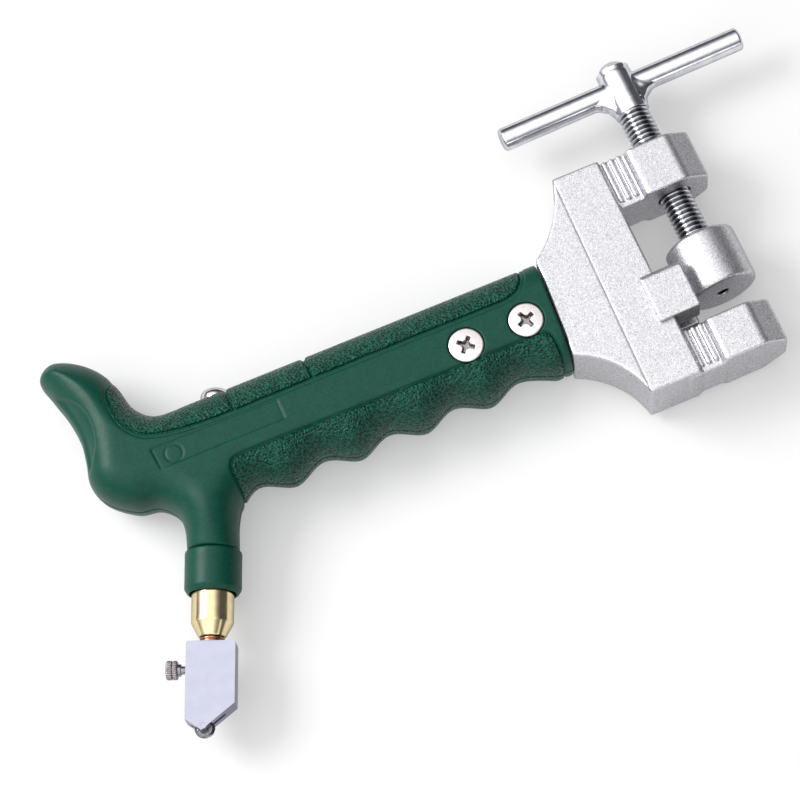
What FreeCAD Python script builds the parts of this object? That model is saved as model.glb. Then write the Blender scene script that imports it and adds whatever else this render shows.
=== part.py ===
import FreeCAD, Part
import math
import os

# Two-in-one glass and tile cutter. A pistol-shaped plastic handle carries an oil-fed scoring wheel
# on a neck at one end and a cast C-frame breaker with a T-bar clamp screw at the other.
#
# Frame: +X runs along the handle towards the breaker, +Y along the clamp screw towards its T-bar,
# +Z through the thickness. The tool lies on its broad side, and the origin is under the middle of
# its outline. Shapes are drawn about the mid-plane and moved to the origin when they are written.
# All sizes are in millimetres.

V = FreeCAD.Vector
REACH = 200.0                   # longer than the tool, for cuts that go right through
ROUNDING_ERROR = 1e-6

# Handle
HANDLE_HALF = 11.0              # half thickness of the grip
HANDLE_ROUNDING = 3.6           # radius along the grip's long outer edges
HANDLE_END_TOP = (43.7, 17.1)   # the end that butts against the casting
HANDLE_END_LOW = (41.8, -11.3)
GRIP_TOP_LEFT = (-52.0, 19.9)
FINGER_PITCH = 17.2             # spacing of the finger grooves
FINGER_COUNT = 5
FINGER_FIRST_X = -40.1          # middle of the groove next to the neck
FINGER_TOP_Y = -5.4             # highest point of that groove
FINGER_BUMP_Y = -8.9            # lowest point of the bump after it
FINGER_DROP = 0.5               # each groove lies this much lower than the one before
LAST_BUMP_RUN = 4.2             # straight length between the last groove and the casting
THUMB_POINTS = [(-57.1, 21.0), (-60.7, 25.2), (-62.2, 31.7), (-64.9, 37.5), (-69.6, 42.1),
                (-75.1, 44.3), (-79.3, 41.5), (-78.2, 35.8), (-76.5, 29.1), (-75.9, 22.2),
                (-76.7, 16.5), (-77.8, 10.9), (-75.6, 5.3), (-69.9, 0.5), (-64.5, -1.0),
                (-61.2, -4.9), (-61.0, -9.0)]
NECK_RIGHT_POINTS = [(-48.6, -13.4), (-46.4, -9.4)]
NECK_HALF = 6.4                 # radius of the neck where it enters the collar
NECK_SIDE = [(-16.0, NECK_HALF), (-4.0, NECK_HALF), (9.0, HANDLE_HALF)]
THUMB_SIDE = [(36.0, HANDLE_HALF), (62.0, 8.2), (75.0, 6.0)]
THUMB_RIGHT = -12.0             # both lists: half thickness at heights in the cutter column's frame
TANG_POCKET_HALF = 3.3
TANG_CLEARANCE = 0.1
TANG_END_GAP = 3.0
GRIP_POCKET = (-33.0, 0.5, 13.5)      # left end, low edge and high edge
GRIP_POCKET_HALF = 8.2

# Cutter column: its own frame has y up the column, and 0 at the top of the collar
COLUMN_TOP = V(-56.75, -16.6, 0)
COLUMN_TILT = 23.5              # degrees from -Y towards -X
COLLAR_RADIUS = 7.0
COLLAR_LENGTH = 10.8
FERRULE_RADIUS = 5.2
FERRULE_END = -17.6             # end of the straight part
FERRULE_CONE_END = -21.6
FERRULE_TOP = 9.0
FERRULE_NOSE_RADIUS = 3.3
CHAMBER_FLOOR = -14.0
TUBE_RADIUS = 3.3
TUBE_BORE = 2.6
TUBE_LOW = -9.0
TUBE_TOP = 35.5
WICK_RADIUS = 2.0
WICK_LOW = -11.2
WICK_TOP = 6.0
POST_RADIUS = 1.55
POST_IN_BLOCK = 5.0             # length of the swivel post pressed into the block
POST_TOP = -11.6
POST_FLANGE = (-13.8, -12.4)    # the flange that keeps the post in the ferrule
POST_FLANGE_RADIUS = 2.75
SEAL_RING_RADIUS = 3.0
RUNNING_GAP = 0.05              # radial clearance of everything that turns in a bore
PLUG_TIP = 29.5
PLUG_GROOVE = (32.0, 32.7)      # groove for the seal
PLUG_GROOVE_DEPTH = 0.55
PLUG_HEAD_LOW = 35.6
PLUG_HEAD_EDGE = 39.6           # where the head's rim ends and its dome begins
PLUG_TOP = 41.9
PLUG_RADIUS = 3.9
PLUG_POCKET_GAP = 0.25
PLUG_STEM_RADIUS = 2.45
PLUG_SEAL_THICKNESS = 0.56

# Cutter block, in the column's frame
BLOCK_TOP = -23.0
BLOCK_HALF_WIDTH = 6.0
BLOCK_HALF_THICK = 3.2
BLOCK_OUTLINE = [(-6.0, 0.0), (6.0, 0.0), (6.0, -15.4), (-1.9, -22.0), (-6.0, -19.2)]
BLOCK_BEVEL = 0.4
WHEEL_CENTRE = (-1.4, -20.9)    # from the middle of the block's top
WHEEL_RADIUS = 2.5
WHEEL_HALF_THICK = 0.5
WHEEL_EDGE_DEPTH = 0.7          # radial depth of the ground cutting edge
WHEEL_SLOT_HALF = 0.7
WHEEL_SLOT_LEFT = 3.4           # reach of the slot beside and above the wheel's centre
WHEEL_SLOT_ABOVE = 3.6
AXLE_RADIUS = 0.7
LOCK_SCREW_DROP = 6.5           # below the block's top
LOCK_SHANK_RADIUS = 1.0
LOCK_HEAD_RADIUS = 2.35
LOCK_HEAD_LENGTH = 2.9
LOCK_NECK_RADIUS = 1.5
LOCK_NECK_LENGTH = 0.8
LOCK_LENGTH = 8.6
LOCK_START = -2.45              # inner end of the lock screw, from the block's middle

# Clamp
CLAMP_X = 83.7
THREAD_RADIUS = 4.0             # M8
JOURNAL_RADIUS = 3.0
SCREW_SHOULDER = 6.75           # where the thread ends above the foot
SCREW_TIP = -7.3
CLIP_GROOVE = (-6.7, -5.8)      # groove for the clip that keeps the foot on the screw
CLIP_GROOVE_DEPTH = 0.5
CLIP_THICKNESS = 0.7
CLIP_RADIUS = 4.4
CLIP_GAP_HALF = 1.4
SCREW_HEAD_LOW = 47.5
SCREW_HEAD_RADIUS = 4.5
BAR_Y = 52.3
BAR_RADIUS = 3.0
BAR_LENGTH = 66.0
BAR_BEVEL = 0.5
DOME_RISE = 3.1                 # from the bar's centre line to the base of the screw's dome
WELD_HALF = 1.9
WELD_OUTLINE = [(3.6, -1.5), (9.6, -2.2), (4.3, -7.2), (3.6, -7.2)]   # from the bar's middle
FOOT_RADIUS = 9.15
FOOT_LOW = -8.0
FOOT_TOP = 6.6
FOOT_RIM = 0.6                  # bevel round its top
CHANNEL_HALF = 2.6              # channel under the guide that straddles the breaking bar
CHANNEL_TOP = -9.0
CLIP_POCKET_RADIUS = 4.6
CLIP_POCKET_TOP = -5.75
GUIDE_LEFT = 64.9
GUIDE_RIGHT = 75.6
GUIDE_LOW = -11.9
GUIDE_TOP = 0.9
GUIDE_HALF = 10.8
GUIDE_BEVEL = 0.9
WEB_CLEARANCE = 0.3
WEB_SIDE_CLEARANCE = 0.2

# Breaker casting
WEB_LEFT_TOP = (56.6, 33.8)
WEB_LEFT_LOW = (55.3, -26.9)
WEB_RIGHT = 68.8
WEB_RIGHT_TOP = 33.6
WEB_HALF = 9.2
FLARE_HALF = 8.5
FLARE_GAP = 0.4                 # between the handle's end and the casting
FLARE_INSET = (1.1, 1.0)        # how far it starts inside the handle's end, at the top and below
FLARE_HOLLOW_TOP = (52.4, 24.2)       # a point on each hollow curve
FLARE_HOLLOW_LOW = (51.2, -17.6)
JAW_HALF = 9.3
RIB_ZONE_HALF = 7.2
RIB_HEIGHT = 0.7
RIB_WIDTH = 1.2
RIB_PITCH = 1.95
RIB_COUNT = 3
RIB_FIRST_GAP = 0.65            # between the web and the first rib
RIB_LIFT = 1.4                  # the ribs end this far above the jaw's underside
JAW_STEP_X = 75.2               # where the ribs end and the block begins
JAW_STEP_RUN = 1.4
JAW_CHAMFER_X = 87.0
JAW_END_X = 92.9
JAW_END_HALF = 4.6
UPPER_JAW_LOW = 20.1
UPPER_JAW_TOP = 33.2
LOWER_JAW_LOW = -27.2
LOWER_JAW_TOP = -15.4
LOWER_JAW_SHIFT = -1.0          # the lower jaw is this much shorter
TANG = (9.0, -3.0, 9.0)         # left end, low edge and high edge
TANG_HALF = 3.2
TANG_ROOT = 48.0
RIDGE_HALF = 1.6                # breaking bar let into the lower jaw
RIDGE_TOP = -13.2
RIDGE_SEAT = -17.0
RIDGE_CREST = 1.1               # radius along its two upper edges
RIDGE_END_RADIUS = 2.2
RIDGE_LEFT_GAP = 0.6            # from the web, and from the lower jaw's free end
RIDGE_RIGHT_GAP = 1.6

# Handle screws, M5
SCREW_CENTRES = {"rear": (19.5, 2.5), "front": (35.4, 2.3)}
M5_RADIUS = 2.5
M5_HEAD_RADIUS = 4.4
M5_HEAD_LOW = 8.6
M5_HEAD_TOP = 11.15
M5_HEAD_BEVEL = 0.5
M5_SEAT_GAP = 0.1
M5_TIP = -9.9
M5_TIP_BEVEL = 0.4
RECESS_ARM = 2.3
RECESS_HALF = 0.45
RECESS_DEPTH = 1.6
NUT_FLATS = 8.0
NUT_LOW = -10.6
NUT_TOP = -6.6
RECESS_TURN = {"rear": 15.0, "front": 45.0}


# ---------------------------------------------------------------- helpers

def polygon(points):
    """A flat face in the mid-plane through (x, y) points."""
    corners = [V(x, y, 0) for x, y in points]
    return Part.Face(Part.makePolygon(corners + corners[:1]))


def slab(face, low, high):
    """A face of the mid-plane made solid between two heights."""
    return face.extrude(V(0, 0, high - low)).translated(V(0, 0, low))


def block(x_range, y_range, half):
    """A box about the mid-plane."""
    (x0, x1), (y0, y1) = x_range, y_range
    return Part.makeBox(x1 - x0, y1 - y0, 2 * half, V(x0, y0, -half))


def turned(profile):
    """A solid of revolution about Y from (radius, height) points."""
    return polygon(profile).revolve(V(0, 0, 0), V(0, 1, 0), 360)


def rod(radius, low, high):
    """A plain rod about Y."""
    return Part.makeCylinder(radius, high - low, V(0, low, 0), V(0, 1, 0))


def on_clamp_axis(shape):
    return shape.translated(V(CLAMP_X, 0, 0))


def on_column(shape):
    """From the column's own frame to the tool's."""
    turned_shape = shape.copy()
    turned_shape.rotate(V(0, 0, 0), V(0, 0, 1), -COLUMN_TILT)
    return turned_shape.translated(COLUMN_TOP)


def column_point(x, y):
    """A point given in the column's frame."""
    angle = math.radians(COLUMN_TILT)
    return COLUMN_TOP + V(x * math.cos(angle) + y * math.sin(angle),
                          y * math.cos(angle) - x * math.sin(angle), 0)


def upright(shape, centre):
    """Turn a solid made about Y so that it stands along Z at a point of the mid-plane."""
    standing = shape.copy()
    standing.rotate(V(0, 0, 0), V(1, 0, 0), 90)
    return standing.translated(V(centre[0], centre[1], 0))


def standing_hole(radius, centre, low=-REACH):
    """A round hole along Z through a point of the mid-plane, from a height upwards."""
    return Part.makeCylinder(radius, 2 * REACH, V(centre[0], centre[1], low))


def spline(points):
    curve = Part.BSplineCurve()
    curve.interpolate([V(x, y, 0) for x, y in points])
    return curve.toShape()


def line(start, end):
    return Part.makeLine(V(*start, 0), V(*end, 0))


def arc(start, middle, end):
    return Part.Arc(V(*start, 0), V(*middle, 0), V(*end, 0)).toShape()


def crosswise(edge, height):
    """True for an edge that runs along Z at a height."""
    box = edge.BoundBox
    level = box.YLength < ROUNDING_ERROR and abs(box.YMax - height) < ROUNDING_ERROR
    return level and box.XLength < ROUNDING_ERROR


def lengthwise(edge, height):
    """True for an edge that runs along X at a height."""
    box = edge.BoundBox
    level = box.YLength < ROUNDING_ERROR and abs(box.YMax - height) < ROUNDING_ERROR
    return level and box.ZLength < ROUNDING_ERROR


# ---------------------------------------------------------------- handle

def finger_points():
    """Grooves and bumps along the underside, from the neck to the casting."""
    points = []
    for index in range(FINGER_COUNT):
        groove_x = FINGER_FIRST_X + index * FINGER_PITCH
        drop = index * FINGER_DROP
        points.append((groove_x, FINGER_TOP_Y - drop))
        if index < FINGER_COUNT - 1:
            points.append((groove_x + FINGER_PITCH / 2, FINGER_BUMP_Y - drop))
    return points


def handle_outline():
    """The grip seen from its broad side."""
    neck_left = column_point(-NECK_HALF, 0)
    neck_right = column_point(NECK_HALF, 0)
    left = (neck_left.x, neck_left.y)
    right = (neck_right.x, neck_right.y)
    crease = NECK_RIGHT_POINTS[-1]
    last_bump = (HANDLE_END_LOW[0] - LAST_BUMP_RUN, HANDLE_END_LOW[1])
    fingers = [crease] + finger_points() + [last_bump]
    edges = [
        line(HANDLE_END_TOP, GRIP_TOP_LEFT),
        spline([GRIP_TOP_LEFT] + THUMB_POINTS + [left]),
        line(left, right),
        spline([right] + NECK_RIGHT_POINTS),
        spline(fingers),
        line(last_bump, HANDLE_END_LOW),
        line(HANDLE_END_LOW, HANDLE_END_TOP),
    ]
    return Part.Face(Part.Wire(edges))


def handle_envelope():
    """Thins the handle from its full thickness to the round neck, and towards the thumb tip."""
    shapes = []
    for side, left, right in ((NECK_SIDE + THUMB_SIDE, -REACH, THUMB_RIGHT),
                              (NECK_SIDE + [(REACH, HANDLE_HALF)], THUMB_RIGHT, REACH)):
        outline = side + [(y, -z) for y, z in reversed(side)]
        corners = [V(left, y, z) for y, z in outline]
        face = Part.Face(Part.makePolygon(corners + corners[:1]))
        shapes.append(on_column(face.extrude(V(right - left, 0, 0))))
    return shapes[0].fuse(shapes[1])


def handle_bores():
    """What both halves leave free: column, filler plug, tang, screws and the hollow grip."""
    left, low, high = GRIP_POCKET
    tang_left, tang_low, tang_high = TANG
    pocket_end = tang_left - TANG_END_GAP
    tang_height = (tang_low - TANG_CLEARANCE, tang_high + TANG_CLEARANCE)
    return [
        on_column(rod(FERRULE_RADIUS, -1, FERRULE_TOP)),
        on_column(rod(TUBE_RADIUS, FERRULE_TOP, TUBE_TOP)),
        on_column(rod(PLUG_RADIUS + PLUG_POCKET_GAP, TUBE_TOP, REACH)),
        block((left, pocket_end), (low, high), GRIP_POCKET_HALF),
        block((pocket_end, REACH), tang_height, TANG_POCKET_HALF),
    ]


def is_grip_rim(edge):
    """True for the long outer edges, and not for the end that butts against the casting."""
    box = edge.BoundBox
    on_side = abs(abs(box.ZMin) - HANDLE_HALF) < ROUNDING_ERROR and box.ZLength < ROUNDING_ERROR
    first_x = min(vertex.Point.x for vertex in edge.Vertexes)
    return on_side and edge.Length > 1.0 and first_x < HANDLE_END_LOW[0] - 1


def handle_halves():
    outer = slab(handle_outline(), -HANDLE_HALF, HANDLE_HALF)
    rims = [edge for edge in outer.Edges if is_grip_rim(edge)]
    body = outer.makeChamfer(HANDLE_ROUNDING, rims)
    body = body.common(handle_envelope())
    for cut in handle_bores():
        body = body.cut(cut)
    upper_space = block((-REACH, REACH), (-REACH, REACH), REACH / 2).translated(V(0, 0, REACH / 2))
    front = body.common(upper_space)
    back = body.cut(upper_space)
    for centre in SCREW_CENTRES.values():
        hole = standing_hole(M5_RADIUS, centre)
        seat = standing_hole(M5_HEAD_RADIUS + M5_SEAT_GAP, centre, M5_HEAD_LOW)
        front = front.cut(hole).cut(seat)
        back = back.cut(hole).cut(hexagon(centre, -HANDLE_HALF - 1, NUT_TOP))
    return front, back


def hexagon(centre, low, high):
    corner = NUT_FLATS / math.sqrt(3)
    points = [(centre[0] + corner * math.cos(math.radians(60 * k)),
               centre[1] + corner * math.sin(math.radians(60 * k))) for k in range(6)]
    return slab(polygon(points), low, high)


def handle_screw(name):
    centre = SCREW_CENTRES[name]
    radius = M5_HEAD_RADIUS
    profile = [(0, M5_TIP), (M5_RADIUS - M5_TIP_BEVEL, M5_TIP),
               (M5_RADIUS, M5_TIP + M5_TIP_BEVEL), (M5_RADIUS, M5_HEAD_LOW),
               (radius, M5_HEAD_LOW), (radius, M5_HEAD_TOP - M5_HEAD_BEVEL),
               (radius * 0.7, M5_HEAD_TOP - 0.1), (0, M5_HEAD_TOP)]
    screw = upright(turned(profile), centre)
    arm_outline = [(-RECESS_ARM, -RECESS_HALF), (RECESS_ARM, -RECESS_HALF),
                   (RECESS_ARM, RECESS_HALF), (-RECESS_ARM, RECESS_HALF)]
    for turn in (0, 90):
        arm = slab(polygon(arm_outline), M5_HEAD_TOP - RECESS_DEPTH, M5_HEAD_TOP + 1)
        arm.rotate(V(0, 0, 0), V(0, 0, 1), turn + RECESS_TURN[name])
        screw = screw.cut(arm.translated(V(centre[0], centre[1], 0)))
    return screw


def handle_nut(name):
    centre = SCREW_CENTRES[name]
    return hexagon(centre, NUT_LOW, NUT_TOP).cut(standing_hole(M5_RADIUS, centre))


# ---------------------------------------------------------------- cutter column

def neck_collar():
    inner, outer = FERRULE_RADIUS, COLLAR_RADIUS
    return on_column(turned([(inner, 0), (outer - 0.6, 0), (outer, -0.6),
                             (outer, 1.2 - COLLAR_LENGTH), (outer - 1.0, -COLLAR_LENGTH),
                             (inner, -COLLAR_LENGTH)]))


def ferrule():
    bore = POST_RADIUS + RUNNING_GAP
    return on_column(turned([(TUBE_RADIUS, FERRULE_TOP), (FERRULE_RADIUS, FERRULE_TOP),
                             (FERRULE_RADIUS, FERRULE_END), (FERRULE_NOSE_RADIUS, FERRULE_CONE_END),
                             (bore, FERRULE_CONE_END), (bore, CHAMBER_FLOOR),
                             (TUBE_RADIUS, CHAMBER_FLOOR)]))


def oil_tube():
    outside = rod(TUBE_RADIUS, TUBE_LOW, TUBE_TOP)
    return on_column(outside.cut(rod(TUBE_BORE, TUBE_LOW - 1, TUBE_TOP + 1)))


def oil_wick():
    return on_column(rod(WICK_RADIUS, WICK_LOW, WICK_TOP))


def filler_plug():
    stem = PLUG_STEM_RADIUS
    inner = stem - PLUG_GROOVE_DEPTH
    head = PLUG_RADIUS
    groove_low, groove_high = PLUG_GROOVE
    profile = [(0, PLUG_TIP), (stem - 0.5, PLUG_TIP), (stem, PLUG_TIP + 0.5),
               (stem, groove_low), (inner, groove_low), (inner, groove_high), (stem, groove_high),
               (stem, PLUG_HEAD_LOW), (head, PLUG_HEAD_LOW), (head, PLUG_HEAD_EDGE),
               (head * 0.84, PLUG_TOP - 1.0), (head * 0.5, PLUG_TOP - 0.25), (0, PLUG_TOP)]
    return on_column(turned(profile))


def filler_plug_seal():
    groove_low, groove_high = PLUG_GROOVE
    thick = PLUG_SEAL_THICKNESS
    inner = PLUG_STEM_RADIUS - PLUG_GROOVE_DEPTH
    middle = V(0, (groove_low + groove_high) / 2, 0)
    ring = Part.makeTorus(inner + thick / 2, thick / 2, middle, V(0, 1, 0))
    return on_column(ring.cut(rod(inner, groove_low - 1, groove_high + 1)))


def in_block(shape):
    """From the block's own frame, with 0 at the middle of its top, to the tool's."""
    return on_column(shape.translated(V(0, BLOCK_TOP, 0)))


def cutter_block():
    body = slab(polygon(BLOCK_OUTLINE), -BLOCK_HALF_THICK, BLOCK_HALF_THICK)
    top_corners = [edge for edge in body.Edges if crosswise(edge, 0)]
    body = body.makeChamfer(BLOCK_BEVEL, top_corners)
    body = body.cut(rod(POST_RADIUS, -POST_IN_BLOCK, 1))
    cx, cy = WHEEL_CENTRE
    slot = block((cx - WHEEL_SLOT_LEFT, REACH), (-REACH, cy + WHEEL_SLOT_ABOVE), WHEEL_SLOT_HALF)
    body = body.cut(slot)
    body = body.cut(standing_hole(AXLE_RADIUS, WHEEL_CENTRE))
    shank = Part.makeCylinder(LOCK_SHANK_RADIUS + RUNNING_GAP, BLOCK_HALF_WIDTH - POST_RADIUS,
                              V(-BLOCK_HALF_WIDTH, -LOCK_SCREW_DROP, 0), V(1, 0, 0))
    return in_block(body.cut(shank))


def swivel_post():
    low = BLOCK_TOP - POST_IN_BLOCK
    flange_low, flange_high = POST_FLANGE
    profile = [(0, low), (POST_RADIUS, low), (POST_RADIUS, flange_low),
               (POST_FLANGE_RADIUS, flange_low), (POST_FLANGE_RADIUS, flange_high),
               (POST_RADIUS, flange_high), (POST_RADIUS, POST_TOP), (0, POST_TOP)]
    return on_column(turned(profile))


def post_seal_ring():
    ring = rod(SEAL_RING_RADIUS, BLOCK_TOP, FERRULE_CONE_END - 0.15)
    return on_column(ring.cut(rod(POST_RADIUS, BLOCK_TOP - 1, 0)))


def wheel_axle():
    cx, cy = WHEEL_CENTRE
    half = BLOCK_HALF_THICK - 0.1
    return in_block(Part.makeCylinder(AXLE_RADIUS, 2 * half, V(cx, cy, -half)))


def cutting_wheel():
    bore = AXLE_RADIUS + RUNNING_GAP
    half = WHEEL_HALF_THICK
    flank = WHEEL_RADIUS - WHEEL_EDGE_DEPTH
    profile = [(bore, -half), (flank, -half), (WHEEL_RADIUS, 0), (flank, half), (bore, half)]
    wheel = upright(turned(profile), WHEEL_CENTRE)
    return in_block(wheel)


def lock_screw():
    """Knurled head outside the block's left side, with a short threaded shank."""
    head = LOCK_HEAD_RADIUS
    end = LOCK_LENGTH
    head_low = end - LOCK_HEAD_LENGTH
    neck_low = head_low - LOCK_NECK_LENGTH
    profile = [(0, 0), (LOCK_SHANK_RADIUS, 0), (LOCK_SHANK_RADIUS, neck_low),
               (LOCK_NECK_RADIUS, neck_low), (LOCK_NECK_RADIUS, head_low),
               (head - 0.25, head_low), (head, head_low + 0.3), (head, end - 0.4),
               (head - 0.3, end - 0.1), (0, end)]
    screw = turned(profile)
    screw.rotate(V(0, 0, 0), V(0, 0, 1), 90)
    return in_block(screw.translated(V(LOCK_START, -LOCK_SCREW_DROP, 0)))


# ---------------------------------------------------------------- clamp

def clamp_screw():
    head = SCREW_HEAD_RADIUS
    dome_base = BAR_Y + DOME_RISE
    journal = JOURNAL_RADIUS
    waist = journal - CLIP_GROOVE_DEPTH
    groove_low, groove_high = CLIP_GROOVE
    profile = [(0, SCREW_TIP), (journal, SCREW_TIP), (journal, groove_low), (waist, groove_low),
               (waist, groove_high), (journal, groove_high), (journal, SCREW_SHOULDER),
               (THREAD_RADIUS, SCREW_SHOULDER + 0.8), (THREAD_RADIUS, SCREW_HEAD_LOW - 0.6),
               (head, SCREW_HEAD_LOW), (head, dome_base), (0, dome_base)]
    body = turned(profile).fuse(Part.makeSphere(head, V(0, dome_base, 0))).removeSplitter()
    cross_bore = Part.makeCylinder(BAR_RADIUS, BAR_LENGTH, V(-BAR_LENGTH / 2, BAR_Y, 0), V(1, 0, 0))
    return on_clamp_axis(body.cut(cross_bore))


def tee_bar():
    radius, half, bevel = BAR_RADIUS, BAR_LENGTH / 2, BAR_BEVEL
    bar = turned([(0, -half), (radius - bevel, -half), (radius, bevel - half),
                  (radius, half - bevel), (radius - bevel, half), (0, half)])
    bar.rotate(V(0, 0, 0), V(0, 0, 1), 90)
    return on_clamp_axis(bar.translated(V(0, BAR_Y, 0)))


def tee_bar_welds():
    """One fillet bead under the bar on each side of the screw's head."""
    beads = []
    for side in (-1, 1):
        outline = [(side * x, BAR_Y + y) for x, y in WELD_OUTLINE]
        beads.append(on_clamp_axis(slab(polygon(outline), -WELD_HALF, WELD_HALF)))
    both = beads[0].fuse(beads[1])
    return both.cut(clamp_screw()).cut(tee_bar())


def foot_retaining_clip():
    middle = sum(CLIP_GROOVE) / 2
    ring = rod(CLIP_RADIUS, middle - CLIP_THICKNESS / 2, middle + CLIP_THICKNESS / 2)
    ring = ring.cut(rod(JOURNAL_RADIUS - CLIP_GROOVE_DEPTH, -REACH, REACH))
    gap = block((0.0, REACH), (-REACH, REACH), CLIP_GAP_HALF)
    return on_clamp_axis(ring.cut(gap))


def pressure_foot():
    """A round foot that turns on the screw, with a guide whose two legs straddle the web."""
    foot = turned([(0, FOOT_LOW), (FOOT_RADIUS, FOOT_LOW), (FOOT_RADIUS, FOOT_TOP - FOOT_RIM),
                   (FOOT_RADIUS - FOOT_RIM, FOOT_TOP), (0, FOOT_TOP)])
    guide = block((GUIDE_LEFT - CLAMP_X, GUIDE_RIGHT - CLAMP_X), (GUIDE_LOW, GUIDE_TOP), GUIDE_HALF)
    rims = [edge for edge in guide.Edges if lengthwise(edge, GUIDE_TOP)]
    guide = guide.makeChamfer(GUIDE_BEVEL, rims)
    body = foot.fuse(guide).removeSplitter()
    slot_end = WEB_RIGHT + WEB_CLEARANCE - CLAMP_X
    body = body.cut(block((-REACH, slot_end), (-REACH, REACH), WEB_HALF + WEB_SIDE_CLEARANCE))
    body = body.cut(block((-REACH, REACH), (-REACH, CHANNEL_TOP), CHANNEL_HALF))
    body = body.cut(rod(JOURNAL_RADIUS + RUNNING_GAP, -REACH, REACH))
    body = body.cut(rod(CLIP_POCKET_RADIUS, -REACH, CLIP_POCKET_TOP))
    return on_clamp_axis(body)


# ---------------------------------------------------------------- breaker casting

def jaw(low, top, shift):
    """One jaw: a ribbed neck beside the web and a block with chamfered corners."""
    half, ribs = JAW_HALF, RIB_ZONE_HALF
    step = JAW_STEP_X + shift
    plan = [(step, ribs), (step + JAW_STEP_RUN, half), (JAW_CHAMFER_X + shift, half),
            (JAW_END_X + shift, JAW_END_HALF)]
    outline = plan + [(x, -z) for x, z in reversed(plan)]
    corners = [V(x, low, z) for x, z in outline]
    head = Part.Face(Part.makePolygon(corners + corners[:1])).extrude(V(0, top - low, 0))
    neck = block((WEB_RIGHT - 1, step + 0.5), (low, top), ribs)
    body = head.fuse(neck)
    for index in range(RIB_COUNT):
        left = WEB_RIGHT + RIB_FIRST_GAP + index * RIB_PITCH + shift / 2
        rib = block((left, left + RIB_WIDTH), (low + RIB_LIFT, top), ribs + RIB_HEIGHT)
        body = body.fuse(rib)
    return body


def flare():
    """The throat between the handle's end and the web, with a hollow curve above and below."""
    top = (HANDLE_END_TOP[0] + FLARE_GAP, HANDLE_END_TOP[1] - FLARE_INSET[0])
    low = (HANDLE_END_LOW[0] + FLARE_GAP, HANDLE_END_LOW[1] + FLARE_INSET[1])
    inside_web = WEB_LEFT_TOP[0] + 2
    right_top = (inside_web, WEB_LEFT_TOP[1])
    right_low = (inside_web, WEB_LEFT_LOW[1])
    edges = [
        arc(top, FLARE_HOLLOW_TOP, WEB_LEFT_TOP),
        line(WEB_LEFT_TOP, right_top),
        line(right_top, right_low),
        line(right_low, WEB_LEFT_LOW),
        arc(WEB_LEFT_LOW, FLARE_HOLLOW_LOW, low),
        line(low, top),
    ]
    return slab(Part.Face(Part.Wire(edges)), -FLARE_HALF, FLARE_HALF)


def ridge_face(top):
    """Side view of the breaking bar up to a height, rounded down at its free end."""
    left = WEB_RIGHT + RIDGE_LEFT_GAP
    right = JAW_END_X + LOWER_JAW_SHIFT - RIDGE_RIGHT_GAP
    radius = RIDGE_END_RADIUS
    corner = radius * (1 - math.sqrt(0.5))
    edges = [
        line((left, RIDGE_SEAT), (left, top)),
        line((left, top), (right - radius, top)),
        arc((right - radius, top), (right - corner, top - corner), (right, top - radius)),
        line((right, top - radius), (right, RIDGE_SEAT)),
        line((right, RIDGE_SEAT), (left, RIDGE_SEAT)),
    ]
    return Part.Face(Part.Wire(edges))


def breaking_bar():
    bar = slab(ridge_face(RIDGE_TOP), -RIDGE_HALF, RIDGE_HALF)
    crest = [edge for edge in bar.Edges if lengthwise(edge, RIDGE_TOP)]
    return bar.makeFillet(RIDGE_CREST, crest)


def head_frame():
    web_outline = [WEB_LEFT_TOP, (WEB_RIGHT, WEB_RIGHT_TOP), (WEB_RIGHT, LOWER_JAW_LOW),
                   WEB_LEFT_LOW]
    tang_left, tang_low, tang_high = TANG
    body = slab(polygon(web_outline), -WEB_HALF, WEB_HALF)
    body = body.fuse(flare())
    body = body.fuse(jaw(UPPER_JAW_LOW, UPPER_JAW_TOP, 0.0))
    body = body.fuse(jaw(LOWER_JAW_LOW, LOWER_JAW_TOP, LOWER_JAW_SHIFT))
    body = body.fuse(block((tang_left, TANG_ROOT), (tang_low, tang_high), TANG_HALF))
    body = body.removeSplitter()
    body = body.cut(on_clamp_axis(rod(THREAD_RADIUS + RUNNING_GAP, 0, REACH)))
    body = body.cut(slab(ridge_face(LOWER_JAW_TOP + RIDGE_END_RADIUS + 1), -RIDGE_HALF, RIDGE_HALF))
    for centre in SCREW_CENTRES.values():
        body = body.cut(standing_hole(M5_RADIUS + TANG_CLEARANCE, centre))
    return body


# ---------------------------------------------------------------- assembly

def tool_centre():
    """The middle of the whole tool's outline, which becomes the origin."""
    lock_low = BLOCK_TOP - LOCK_SCREW_DROP - LOCK_HEAD_RADIUS + 0.3
    left = column_point(LOCK_START - LOCK_LENGTH + 0.1, lock_low).x
    right = CLAMP_X + BAR_LENGTH / 2
    low = column_point(WHEEL_CENTRE[0], BLOCK_TOP + WHEEL_CENTRE[1]).y - WHEEL_RADIUS
    top = BAR_Y + DOME_RISE + SCREW_HEAD_RADIUS
    return V((left + right) / 2, (low + top) / 2, -HANDLE_HALF)


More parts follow.
